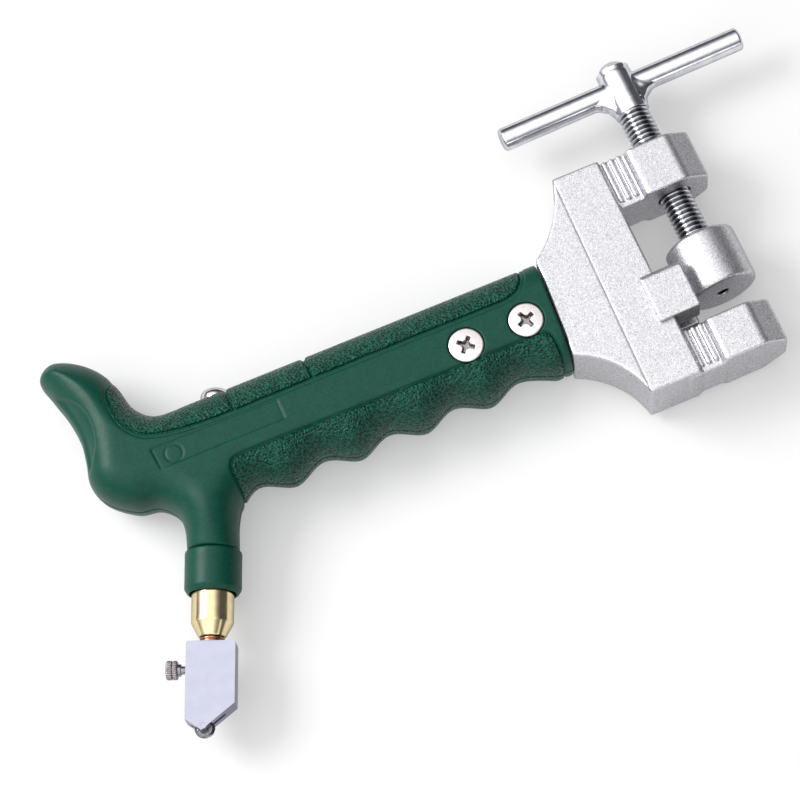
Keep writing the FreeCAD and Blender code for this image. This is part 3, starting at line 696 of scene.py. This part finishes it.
def handle_relief(x, y):
    """How far the handle's face is cut back, in millimetres, at each point of the plane."""
    strip = curve_through(STRIP_BORDER, 6)
    edge = line_distance(x, y, strip)
    signed = np.where(inside_polygon(x, y, strip + STRIP_CLOSING), -edge, edge)
    relief = groove(signed, *STRIP_GROOVE) + groove(signed - BAND_WIDTH, *BAND_GROOVE)
    fingers = line_distance(x, y, curve_through(FINGER_BORDER, 6))
    relief = np.maximum(relief, groove(fingers, *FINGER_GROOVE))
    for notch in NOTCHES:
        cut = groove(line_distance(x, y, notch), *NOTCH_GROOVE) * smooth_step(0.3, -0.3, signed)
        relief = np.maximum(relief, cut)
    label = polygon_field(x, y, LABEL)
    relief = relief + LABEL_SINK * smooth_step(0.15, -0.15, label) + groove(label, *LABEL_GROOVE)
    cx, cy, radius = LABEL_RING
    relief = relief + groove(np.hypot(x - cx, y - cy) - radius, *RING_GROOVE)
    relief = relief + groove(line_distance(x, y, SCRATCH_LINE), *SCRATCH_GROOVE)
    crescent = polygon_field(x, y, curve_through(THUMB_CRESCENT, 6) + THUMB_CLOSING)
    rim = -polygon_field(x, y, handle_outline())
    scoop = SCOOP_DEPTH * smooth_step(0.1, -0.45, crescent) * smooth_step(0.3, 1.9, rim)
    return relief + scoop * smooth_step(-7.5, -1.5, crescent)


def grain_mask(x, y):
    """1 on the leather-grained strip and finger zone, and 0 elsewhere."""
    zones = [curve_through(STRIP_BORDER, 6) + STRIP_CLOSING,
             curve_through(FINGER_BORDER, 6) + FINGER_CLOSING]
    return np.maximum(*[smooth_step(-0.05, -0.35, polygon_field(x, y, zone)) for zone in zones])


MAP_LOW, MAP_HIGH = (-85.0, -32.0), (50.0, 50.0)
HANDLE_DEPTH = FlatMap(lambda x, y: -polygon_field(x, y, handle_outline()), MAP_LOW, MAP_HIGH, 0.5)
HANDLE_RELIEF = FlatMap(handle_relief, MAP_LOW, MAP_HIGH, 0.15)


def handle_half_thickness(x, y):
    """Half thickness at the middle of the handle: thin at the neck and at the thumb tip."""
    across, up = to_column(x, y)
    neck = NECK_HALF + (HANDLE_HALF - NECK_HALF) * smooth_step(-5.0, 12.0, up)
    thumb = THUMB_THINNING * smooth_step(36.0, 68.0, up) * smooth_step(-6.0, -16.0, across)
    return neck - thumb


def handle_field(x, y, z):
    across, up = to_column(x, y)
    half = handle_half_thickness(x, y)
    neckness = smooth_step(12.0, -2.0, up)
    thumbness = smooth_step(-6.0, -14.0, across) * smooth_step(20.0, 34.0, up)
    rounding = NECK_HALF * neckness + GRIP_ROUNDING * (1 - neckness)
    power = 2.0 * neckness + (GRIP_POWER - 0.25 * thumbness) * (1 - neckness)
    depth = HANDLE_DEPTH(x, y)
    side = np.clip(1 - depth / rounding, 0, 3) ** power
    face = (np.abs(z) / half) ** power
    body = ((side + face) ** (1 / power) - 1) * np.minimum(half, rounding)
    body = body + HANDLE_RELIEF(x, y) * np.minimum(1, np.abs(z) / 2)
    body = body + groove(z, *PARTING_GROOVE)
    end = cut_line(x, y, HANDLE_END_LOW, HANDLE_END_TOP)
    body = smooth_max(body, end, 0.5)
    body = smooth_max(body, -up, 0.4)
    pocket = smooth_max(np.hypot(across, z) - PLUG_POCKET_RADIUS, PLUG_POCKET_FLOOR - up, 0.2)
    body = smooth_max(body, -pocket, 0.5)
    for cx, cy in SCREW_CENTRES.values():
        seat = np.maximum(np.hypot(x - cx, y - cy) - M5_HEAD_RADIUS - M5_SEAT_GAP, M5_SEAT - z)
        body = smooth_max(body, -seat, 0.25)
        nut = np.maximum(hexagon_field(x - cx, y - cy, NUT_FLATS / 2 + 0.1), z - NUT_TOP)
        body = smooth_max(body, -nut, 0.3)
    return body


def cut_line(x, y, start, end):
    """Signed distance to a line, positive on its right side when going from start to end."""
    dx, dy = end[0] - start[0], end[1] - start[1]
    length = math.hypot(dx, dy)
    return ((x - start[0]) * dy - (y - start[1]) * dx) / length


def hexagon_field(x, y, apothem):
    field = -1e9
    for k in range(3):
        angle = math.radians(30 + 60 * k)
        field = np.maximum(field, np.abs(x * math.cos(angle) + y * math.sin(angle)) - apothem)
    return field


def split_mesh(name, points, faces, side):
    """The part of a mesh on one side of the mid-plane, closed with a flat cap."""
    mesh = new_mesh(name, points, faces)
    middle = -ORIGIN[2] * MM
    with editing(mesh) as work:
        geometry = work.verts[:] + work.edges[:] + work.faces[:]
        bmesh.ops.bisect_plane(work, geom=geometry, plane_co=(0, 0, middle),
                               plane_no=(0, 0, side), clear_inner=True, dist=1e-7)
        rim = [edge for edge in work.edges if len(edge.link_faces) == 1]
        cap = bmesh.ops.triangle_fill(work, edges=rim, use_beauty=False)
        for face in cap["geom"]:
            if isinstance(face, bmesh.types.BMFace):
                face.smooth = False
        bmesh.ops.recalc_face_normals(work, faces=work.faces)
    return mesh


def build_handle():
    low, high = (-81.0, -19.0, -11.2), (44.5, 46.0, 11.2)
    points, faces = surface_net(handle_field, low, high, HANDLE_STEP)
    for name, side in (("handle_front", 1), ("handle_back", -1)):
        mesh = split_mesh(name, points, faces, side)
        mark(mesh, "grain", lambda x, y, z: grain_mask(x, y))
        add_piece(name, mesh, "tool_body", "handle")


build_handle()

# -------------------------------- breaker casting

WEB = [(56.6, 33.8), (55.3, -26.9), (68.8, -27.2), (68.8, 33.6)]
WEB_RIGHT = 68.8
WEB_HALF = 9.2
FLARE_HALF = 9.1
FLARE_TOP = [(44.1, 16.0), (52.4, 24.2), (56.6, 33.8)]
FLARE_LOW = [(55.3, -26.9), (51.2, -17.6), (42.2, -10.3)]
JAW_PLAN = [(75.2, 7.2), (76.6, 9.3), (87.0, 9.3), (92.9, 4.6)]
RIB_ZONE_HALF = 7.2
RIB_HEIGHT = 0.8
RIB_WIDTH = 1.2
RIB_PITCH = 1.95
RIB_COUNT = 3
RIB_FIRST = 69.45
RIB_LIFT = 1.4
UPPER_JAW = (20.1, 33.2)
LOWER_JAW = (-27.2, -15.4)
LOWER_JAW_SHIFT = -1.0
TANG = ((9.0, 50.0), (-3.0, 9.0), 3.2)
CLAMP_HOLE_RADIUS = 4.25
CAST_EDGE = 0.7
CAST_STEP = 0.3


def convex(x, y, corners, blend):
    """Inside of a convex outline given counterclockwise, with rounded corners."""
    field = None
    for start, end in zip(corners, corners[1:] + corners[:1]):
        side = cut_line(x, y, start, end)
        field = side if field is None else smooth_max(field, side, blend)
    return field


def box_field(x, y, z, x_range, y_range, half, blend):
    across = np.abs(x - sum(x_range) / 2) - (x_range[1] - x_range[0]) / 2
    along = np.abs(y - sum(y_range) / 2) - (y_range[1] - y_range[0]) / 2
    field = smooth_max(across, along, blend)
    return smooth_max(field, np.abs(z) - half, blend)


def arc_points(start, middle, end, count=16):
    """Points of the circle arc through three points."""
    (ax, ay), (bx, by), (cx, cy) = start, middle, end
    d = 2 * (ax * (by - cy) + bx * (cy - ay) + cx * (ay - by))
    squares = [ax * ax + ay * ay, bx * bx + by * by, cx * cx + cy * cy]
    ux = (squares[0] * (by - cy) + squares[1] * (cy - ay) + squares[2] * (ay - by)) / d
    uy = (squares[0] * (cx - bx) + squares[1] * (ax - cx) + squares[2] * (bx - ax)) / d
    radius = math.hypot(ax - ux, ay - uy)
    first = math.atan2(ay - uy, ax - ux)
    turn = math.atan2(cy - uy, cx - ux) - first
    turn = (turn + math.pi) % (2 * math.pi) - math.pi
    return [(ux + radius * math.cos(first + turn * k / count),
             uy + radius * math.sin(first + turn * k / count)) for k in range(count + 1)]


def flare_outline(x, y):
    right = WEB[0][0] + 4
    outline = arc_points(*FLARE_TOP) + [(right, FLARE_TOP[-1][1]), (right, FLARE_LOW[0][1])]
    return polygon_field(x, y, outline + arc_points(*FLARE_LOW))


FLARE = FlatMap(flare_outline, (38.0, -32.0), (66.0, 40.0), 0.2)


def jaw_field(x, y, z, y_range, shift):
    plan = [(px + shift, pz) for px, pz in JAW_PLAN]
    plan = [(px, -pz) for px, pz in plan] + plan[::-1]
    low, high = y_range
    middle = np.abs(y - (low + high) / 2) - (high - low) / 2
    head = smooth_max(convex(x, z, plan, CAST_EDGE), middle, CAST_EDGE)
    neck = box_field(x, y, z, (WEB_RIGHT - 3, plan[0][0] + 1.5), y_range, RIB_ZONE_HALF, 0.6)
    body = smooth_min(head, neck, 0.5)
    for index in range(RIB_COUNT):
        left = RIB_FIRST + index * RIB_PITCH + shift / 2
        rib = box_field(x, y, z, (left, left + RIB_WIDTH), (low + RIB_LIFT, high - 0.1),
                        RIB_ZONE_HALF + RIB_HEIGHT, 0.45)
        body = smooth_min(body, rib, 0.25)
    return body


def head_field(x, y, z):
    web = smooth_max(convex(x, y, WEB, CAST_EDGE), np.abs(z) - WEB_HALF, CAST_EDGE)
    flare = smooth_max(np.where(x < 60, FLARE(x, y), x - 60), np.abs(z) - FLARE_HALF, CAST_EDGE)
    body = smooth_min(web, flare, 0.15)
    body = smooth_min(body, jaw_field(x, y, z, UPPER_JAW, 0.0), 0.7)
    body = smooth_min(body, jaw_field(x, y, z, LOWER_JAW, LOWER_JAW_SHIFT), 0.7)
    body = np.minimum(body, box_field(x, y, z, *TANG, 0.5))
    hole = np.maximum(np.hypot(x - CLAMP_X, z) - CLAMP_HOLE_RADIUS, -y)
    return smooth_max(body, -hole, 0.6)


def web_crease_shade(x, y, z):
    """The fine line where the web's face meets the flare, 1 along it and 0 elsewhere: where the
    paint gets painted shade in place of a groove.
    """
    line = np.exp(-(cut_line(x, y, WEB[0], WEB[1]) / 0.24) ** 2)
    return line * smooth_step(FLARE_HALF - 0.6, FLARE_HALF - 0.2, np.abs(z))


def build_casting():
    low, high = (8.5, -28.0, -9.6), (93.5, 34.5, 9.6)
    mesh = new_mesh("head_frame", *surface_net(head_field, low, high, CAST_STEP))
    # Painted shade along the line where the web meets the flare.
    mark(mesh, "hollow", web_crease_shade)
    add_piece("head_frame", mesh, "tool_body", "casting")
    bevelled("breaking_bar", "tool_body", "steel", 0.25)


build_casting()

# -------------------------------- pressure foot

FOOT_RADIUS = 9.15
FOOT_RANGE = (-8.0, 6.6)
GUIDE_X = (64.9, 75.6)
GUIDE_Y = (-11.9, 0.9)
GUIDE_HALF = 10.8
GUIDE_BEVEL = 1.1
WEB_SLOT = (69.1, 9.4)
CHANNEL_HALF = 2.6
CHANNEL_TOP = -9.0
FOOT_BORE = 3.15
FOOT_HOLE = 1.6
FOOT_FLOOR = 0.6
CLIP_POCKET_RADIUS = 4.6
CLIP_POCKET_TOP = -5.75
FOOT_STEP = 0.25


def foot_field(x, y, z):
    low, high = FOOT_RANGE
    round_part = np.hypot(x - CLAMP_X, z) - FOOT_RADIUS
    height = np.abs(y - (low + high) / 2) - (high - low) / 2
    body = smooth_max(round_part, height, 1.3)
    guide = box_field(x, y, z, GUIDE_X, GUIDE_Y, GUIDE_HALF, 0.5)
    bevel = (np.abs(z) - GUIDE_HALF + y - GUIDE_Y[1] + GUIDE_BEVEL) / math.sqrt(2)
    guide = smooth_max(guide, bevel, 0.3)
    body = smooth_min(body, guide, 0.9)
    slot = np.maximum(x - WEB_SLOT[0], np.abs(z) - WEB_SLOT[1])
    body = smooth_max(body, -slot, 0.4)
    channel = np.maximum(y - CHANNEL_TOP, np.abs(z) - CHANNEL_HALF)
    body = smooth_max(body, -channel, 0.4)
    from_axis = np.hypot(x - CLAMP_X, z)
    above_floor = low + FOOT_FLOOR - y
    bore = np.maximum(from_axis - FOOT_BORE, above_floor)
    body = smooth_max(body, -bore, 0.5)
    hole = np.maximum(from_axis - FOOT_HOLE, y - CLIP_POCKET_TOP)
    pocket = np.maximum(from_axis - CLIP_POCKET_RADIUS,
                        np.maximum(y - CLIP_POCKET_TOP, above_floor))
    return smooth_max(smooth_max(body, -pocket, 0.2), -hole, 0.2)


def build_foot():
    low, high = (64.0, -12.4, -11.2), (93.4, 7.2, 11.2)
    mesh = new_mesh("pressure_foot", *surface_net(foot_field, low, high, FOOT_STEP))
    add_piece("pressure_foot", mesh, "pressure_foot", "casting")


build_foot()

# -------------------------------- clamp screw and T-bar

THREAD_RADIUS = 4.0
THREAD_PITCH = 1.25
THREAD_DEPTH = 0.72
THREAD_RANGE = (7.6, 46.9)
THREAD_CREST = 0.14        # shares of a half turn
THREAD_FLANK = 0.68
THREAD_RUNOUT = 0.9
SCREW_TIP = -7.3
JOURNAL_RADIUS = 3.0
SCREW_HEAD_RADIUS = 4.5
SCREW_HEAD_LOW = 47.5
DOME_BASE = 55.4
BAR_RADIUS = 3.0
BAR_HALF = 33.0
BAR_BEVEL = 0.6
WELD_BLEND = 4.6
WELD_INSET = 0.12
WELD_REACH = 9.4
WELD_DROP = 7.4


def thread_radius(radius, angles, height):
    """Radius of an ISO-like thread round the turn at a height."""
    low, high = THREAD_RANGE
    if not low < height < high:
        return np.full(angles.shape, radius)
    phase = (height / THREAD_PITCH - angles / (2 * math.pi)) % 1.0
    flank = np.clip((np.abs(2 * phase - 1) - THREAD_CREST) / THREAD_FLANK, 0, 1)
    fade = min(1.0, (height - low) / THREAD_RUNOUT, (high - height) / THREAD_RUNOUT)
    return radius - THREAD_DEPTH * flank * fade


def thread_hollow(x, y, z):
    """How deep in the thread each point is, from 0 at the crest to 1 at the root. It sets the
    painted shade in the thread's roots.
    """
    depth = THREAD_RADIUS - np.hypot(x - CLAMP_X, z)
    threaded = (y > THREAD_RANGE[0]) & (y < THREAD_RANGE[1])
    return np.where(threaded, smooth_step(0.12, THREAD_DEPTH, depth), 0)


def clamp_screw_profile():
    low, high = THREAD_RANGE
    profile = [(0.01, SCREW_TIP), (JOURNAL_RADIUS - 0.3, SCREW_TIP),
               (JOURNAL_RADIUS, SCREW_TIP + 0.3), (JOURNAL_RADIUS, 6.75), (THREAD_RADIUS, low)]
    count = int((high - low) / 0.1)
    profile += [(THREAD_RADIUS, low + (high - low) * k / count) for k in range(1, count + 1)]
    profile += softened([(THREAD_RADIUS, high + 0.05), (SCREW_HEAD_RADIUS, SCREW_HEAD_LOW),
                         (SCREW_HEAD_RADIUS, DOME_BASE)], 0.5)
    for k in range(1, 24):
        angle = math.pi / 2 * k / 24
        profile.append((SCREW_HEAD_RADIUS * math.cos(angle),
                        DOME_BASE + SCREW_HEAD_RADIUS * math.sin(angle)))
    return profile + [(0.01, DOME_BASE + SCREW_HEAD_RADIUS)]


def weld_field(x, y, z):
    """Beads that fill the corners under the bar, between it and the screw's head."""
    dx, dy = x - CLAMP_X, y - BAR_Y
    wobble = 0.12 * np.sin(1.9 * dx + 1.3 * z) * np.sin(1.7 * y + 0.7)
    bar = np.hypot(dy, z) - BAR_RADIUS + WELD_INSET
    head = np.hypot(dx, z) - SCREW_HEAD_RADIUS + WELD_INSET
    reach = (WELD_BLEND * smooth_step(2.0, -2.5, dy) + 0.6) * smooth_step(4.4, 1.6, np.abs(z)) + 0.3
    blended = smooth_min(bar, head, reach)
    filled = np.minimum(bar, head) - blended
    joined = blended + wobble * smooth_step(0.15, 0.6, filled)
    room = np.maximum(np.hypot(np.hypot(dx, (dy + 0.8) * 1.15), z) - WELD_REACH,
                      -dy - WELD_DROP)
    return np.maximum(joined, room)


def along_bar(x, y, z):
    return CLAMP_X + y, BAR_Y + x, z


def build_clamp():
    def add_zinc(node, mesh):
        return add_piece(node, mesh, "clamp_screw", "zinc")

    screw = lathe("clamp_screw", clamp_screw_profile(), on_clamp, 72, thread_radius)
    # Painted shade in the thread's roots, darker the deeper they are.
    mark(screw, "hollow", thread_hollow)
    weighted_normals(add_zinc("clamp_screw", screw))
    ends = [(0.01, -BAR_HALF), (BAR_RADIUS - BAR_BEVEL, -BAR_HALF),
            (BAR_RADIUS, BAR_BEVEL - BAR_HALF), (BAR_RADIUS, BAR_HALF - BAR_BEVEL),
            (BAR_RADIUS - BAR_BEVEL, BAR_HALF), (0.01, BAR_HALF)]
    bar = lathe("tee_bar", softened(ends, 0.25), along_bar, 96)
    weighted_normals(add_zinc("tee_bar", bar))
    low, high = (CLAMP_X - 10, BAR_Y - 8, -5.2), (CLAMP_X + 10, BAR_Y + 5, 5.2)
    add_zinc("tee_bar_welds", new_mesh("tee_bar_welds", *surface_net(weld_field, low, high, 0.2)))


build_clamp()

# -------------------------------- handle screws and nuts

M5_CROWN = 0.012
RECESS_REACH = 2.35
RECESS_HALF = 0.52
RECESS_HUB = 1.15
RECESS_DEPTH = 1.7
SHANK = [(0.01, -9.9), (2.1, -9.9), (2.5, -9.5), (2.5, 8.8), (0.01, 8.8)]


def screw_head_field(name):
    """A flat head with a cross recess, turned as it was driven home."""
    cx, cy = SCREW_CENTRES[name]
    turn = math.radians(RECESS_TURN[name])

    def field(x, y, z):
        u = (x - cx) * math.cos(turn) + (y - cy) * math.sin(turn)
        v = (y - cy) * math.cos(turn) - (x - cx) * math.sin(turn)
        radius = np.hypot(u, v)
        crown = z - M5_HEAD_TOP + M5_CROWN * radius ** 2
        head = smooth_max(radius - M5_HEAD_RADIUS, crown, 0.5)
        head = smooth_max(head, M5_SEAT - z, 0.2)
        depth = M5_HEAD_TOP - z
        reach, half = RECESS_REACH - 0.45 * depth, RECESS_HALF - 0.1 * depth
        arms = np.minimum(np.maximum(np.abs(u) - reach, np.abs(v) - half),
                          np.maximum(np.abs(v) - reach, np.abs(u) - half))
        arms = smooth_min(arms, radius - RECESS_HUB + 0.35 * depth, 0.3)
        recess = np.maximum(arms, depth - RECESS_DEPTH)
        return smooth_max(head, -recess, 0.16)

    return field


def build_handle_screws():
    for name, (cx, cy) in SCREW_CENTRES.items():
        low, high = (cx - 4.6, cy - 4.6, 8.4), (cx + 4.6, cy + 4.6, 11.4)
        head = new_mesh("head", *surface_net(screw_head_field(name), low, high, 0.1))
        # Painted shade in the cross recess, darker the deeper it goes.
        mark(head, "hollow", lambda x, y, z: smooth_step(0.12, 1.0, M5_HEAD_TOP - z)
             * smooth_step(2.6, 2.4, np.hypot(x - cx, y - cy)))
        shank = lathe("shank", SHANK, lambda x, y, z: (cx + x, cy + z, y), 48)
        mesh = join_meshes("handle_screw_" + name, [head, shank])
        add_piece("handle_screw_" + name, mesh, "tool_body", "screw_face")
        bevelled("handle_nut_" + name, "tool_body", "zinc", 0.35)


build_handle_screws()

# -------------------------------- cutter column

COLLAR = [(5.2, 0.0), (6.5, 0.0), (7.0, -0.5), (7.0, -9.6), (6.2, -10.8), (5.75, -10.8),
          (5.75, -8.6), (5.2, -8.4), (5.2, 0.0)]
FERRULE = [(3.3, 9.0), (5.2, 9.0), (5.2, -18.0), (3.3, -21.6), (1.6, -21.6), (1.6, -14.0),
           (3.3, -14.0), (3.3, 9.0)]
SEAL_RING = [(1.55, -22.95), (3.0, -22.95), (3.0, -22.5), (2.75, -22.35), (3.0, -22.2),
             (3.0, -21.75), (1.55, -21.75), (1.55, -22.95)]
PLUG = [(0.01, 29.5), (1.95, 29.5), (2.45, 30.0), (2.45, 32.0), (1.9, 32.0), (1.9, 32.7),
        (2.45, 32.7), (2.45, 35.6), (3.9, 35.6), (3.9, 39.6), (3.75, 40.2), (3.3, 40.9),
        (2.4, 41.5), (1.3, 41.82), (0.01, 41.9)]
WHEEL = [(0.75, -0.5), (1.8, -0.5), (2.5, 0.0), (1.8, 0.5), (0.75, 0.5), (0.75, -0.5)]
WHEEL_CENTRE = (-1.4, -20.9)
LOCK_DROP = 6.5
LOCK_START = -2.45
LOCK = [(0.01, 0.0), (1.0, 0.0), (1.0, 4.9), (1.5, 4.9), (1.5, 5.7), (2.1, 5.7), (2.35, 6.0),
        (2.35, 6.75), (2.0, 6.95), (2.35, 7.15), (2.35, 8.2), (2.05, 8.5), (0.01, 8.6)]
KNURLS = 26
KNURL_DEPTH = 0.16


def knurled(radius, angles, height):
    """Fine straight knurling on the lock screw's head."""
    if radius < 2.2:
        return np.full(angles.shape, radius)
    return radius - KNURL_DEPTH * (0.5 + 0.5 * np.cos(angles * KNURLS)) ** 2


def on_wheel_axis(x, y, z):
    px, py = from_column(WHEEL_CENTRE[0] + x, BLOCK_TOP + WHEEL_CENTRE[1] + z)
    return px, py, y


def on_lock_axis(x, y, z):
    px, py = from_column(LOCK_START - y, BLOCK_TOP - LOCK_DROP + x)
    return px, py, z


def turned_piece(node, profile, place, body, finish, rounding, segments=96,
                 radius_at=None):
    mesh = lathe(node, softened(profile, rounding), place, segments, radius_at)
    weighted_normals(add_piece(node, mesh, body, finish))


def build_column():
    turned_piece("neck_collar", COLLAR, on_column, "tool_body", "collar", 0.35)
    turned_piece("ferrule", FERRULE, on_column, "tool_body", "brass", 0.25)
    turned_piece("post_seal_ring", SEAL_RING, on_column, "cutter_head", "copper", 0.2)
    turned_piece("filler_plug", PLUG, on_column, "filler_plug", "chrome", 0.5)
    turned_piece("cutting_wheel", WHEEL, on_wheel_axis, "cutting_wheel", "carbide",
                 0.05)
    turned_piece("lock_screw", LOCK, on_lock_axis, "lock_screw", "lock", 0.1,
                 KNURLS * 8, knurled)
    bevelled("cutter_block", "cutter_head", "nickel", 0.28)


build_column()


def dress_nodes():
    """Finishes of the CAD nodes that are shown as they are."""
    finishes = {
        "oil_tube": ("copper", "copper"),
        "oil_wick": ("felt", "felt"),
        "swivel_post": ("dark_steel", "steel"),
        "wheel_axle": ("dark_steel", "nickel"),
        "filler_plug_seal": ("seal_rubber", "rubber"),
        "foot_retaining_clip": ("dark_steel", "steel"),
    }
    for node, (slot, material) in finishes.items():
        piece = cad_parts[node]
        piece.data.materials.clear()
        piece.data.materials.append(MATERIALS[material])


dress_nodes()

# -------------------------------- camera, floor and light

ROLL = math.radians(23.6)             # the handle's turn in the picture
LEAN_DOWN = math.radians(19.0)        # the eye stands below and a little to the right
LEAN_RIGHT = math.radians(4.0)
EYE_DISTANCE = 0.85925
LENS = 157.5
FLOOR_HALF = 3.0
FLOOR_DROP = 0.0006
SKY_LEAN = -0.45                      # the bright part of the sky leans to the left


def build_camera():
    right_axis = Vector((math.cos(ROLL), -math.sin(ROLL), 0))
    up_axis = Vector((math.sin(ROLL), math.cos(ROLL), 0))
    flat = math.cos(LEAN_DOWN)
    outward = (right_axis * math.sin(LEAN_RIGHT) * flat - up_axis * math.sin(LEAN_DOWN)
               + Vector((0, 0, 1)) * math.cos(LEAN_RIGHT) * flat)
    up = (up_axis - outward * up_axis.dot(outward)).normalized()
    right = up.cross(outward)
    target = Vector(to_row((0, 0, 0)))
    camera_data = bpy.data.cameras.new("camera")
    camera_data.lens = LENS
    camera_data.sensor_width = 36
    camera_data.clip_start = 0.01
    camera_data.dof.use_dof = False
    camera = bpy.data.objects.new("camera", camera_data)
    bpy.context.scene.collection.objects.link(camera)
    turn = Matrix((right, up, outward)).transposed().to_4x4()
    camera.matrix_world = Matrix.Translation(target + outward * EYE_DISTANCE) @ turn
    bpy.context.scene.camera = camera


def add_light(name, location, size, watts, target=(0, 0, 0.011)):
    lamp = bpy.data.lights.new(name, "AREA")
    lamp.shape = "RECTANGLE"
    lamp.size, lamp.size_y = size
    lamp.energy = watts
    light = bpy.data.objects.new(name, lamp)
    bpy.context.scene.collection.objects.link(light)
    direction = Vector(target) - Vector(location)
    light.matrix_world = (Matrix.Translation(location)
                          @ direction.to_track_quat("-Z", "Y").to_matrix().to_4x4())


def build_floor():
    mesh = bpy.data.meshes.new("floor")
    corners = [(-1, -1), (1, -1), (1, 1), (-1, 1)]
    mesh.from_pydata([(x * FLOOR_HALF, y * FLOOR_HALF, -FLOOR_DROP) for x, y in corners], [],
                     [(0, 1, 2, 3)])
    mesh.materials.append(floor_paper())
    floor = bpy.data.objects.new("floor", mesh)
    bpy.context.scene.collection.objects.link(floor)


def build_sky():
    """Studio surroundings: dark below and to the right, white overhead and to the left."""
    world = bpy.data.worlds.new("studio")
    world.use_nodes = True
    tree = world.node_tree
    background = tree.nodes["Background"]
    direction = tree.nodes.new("ShaderNodeTexCoord")
    split = tree.nodes.new("ShaderNodeSeparateXYZ")
    tree.links.new(direction.outputs["Generated"], split.inputs[0])
    side = calculate(tree, "MULTIPLY_ADD", split.outputs["X"], SKY_LEAN, split.outputs["Z"])
    sky = ramp(tree, side, [(0.0, (0.06, 0.06, 0.065)), (0.35, (0.06, 0.06, 0.065)),
                            (0.6, (0.25, 0.25, 0.26)), (0.86, (1.0, 1.0, 1.0))])
    tree.links.new(sky, background.inputs["Color"])
    background.inputs["Strength"].default_value = 1.75
    bpy.context.scene.world = world
    bpy.context.scene.view_settings.view_transform = "Standard"


build_camera()
build_floor()
build_sky()
add_light("key_light", (-0.55, 0.40, 0.62), (0.5, 0.35), 7.0)
add_light("fill_light", (-0.05, -0.65, 0.22), (0.6, 0.25), 1.0)
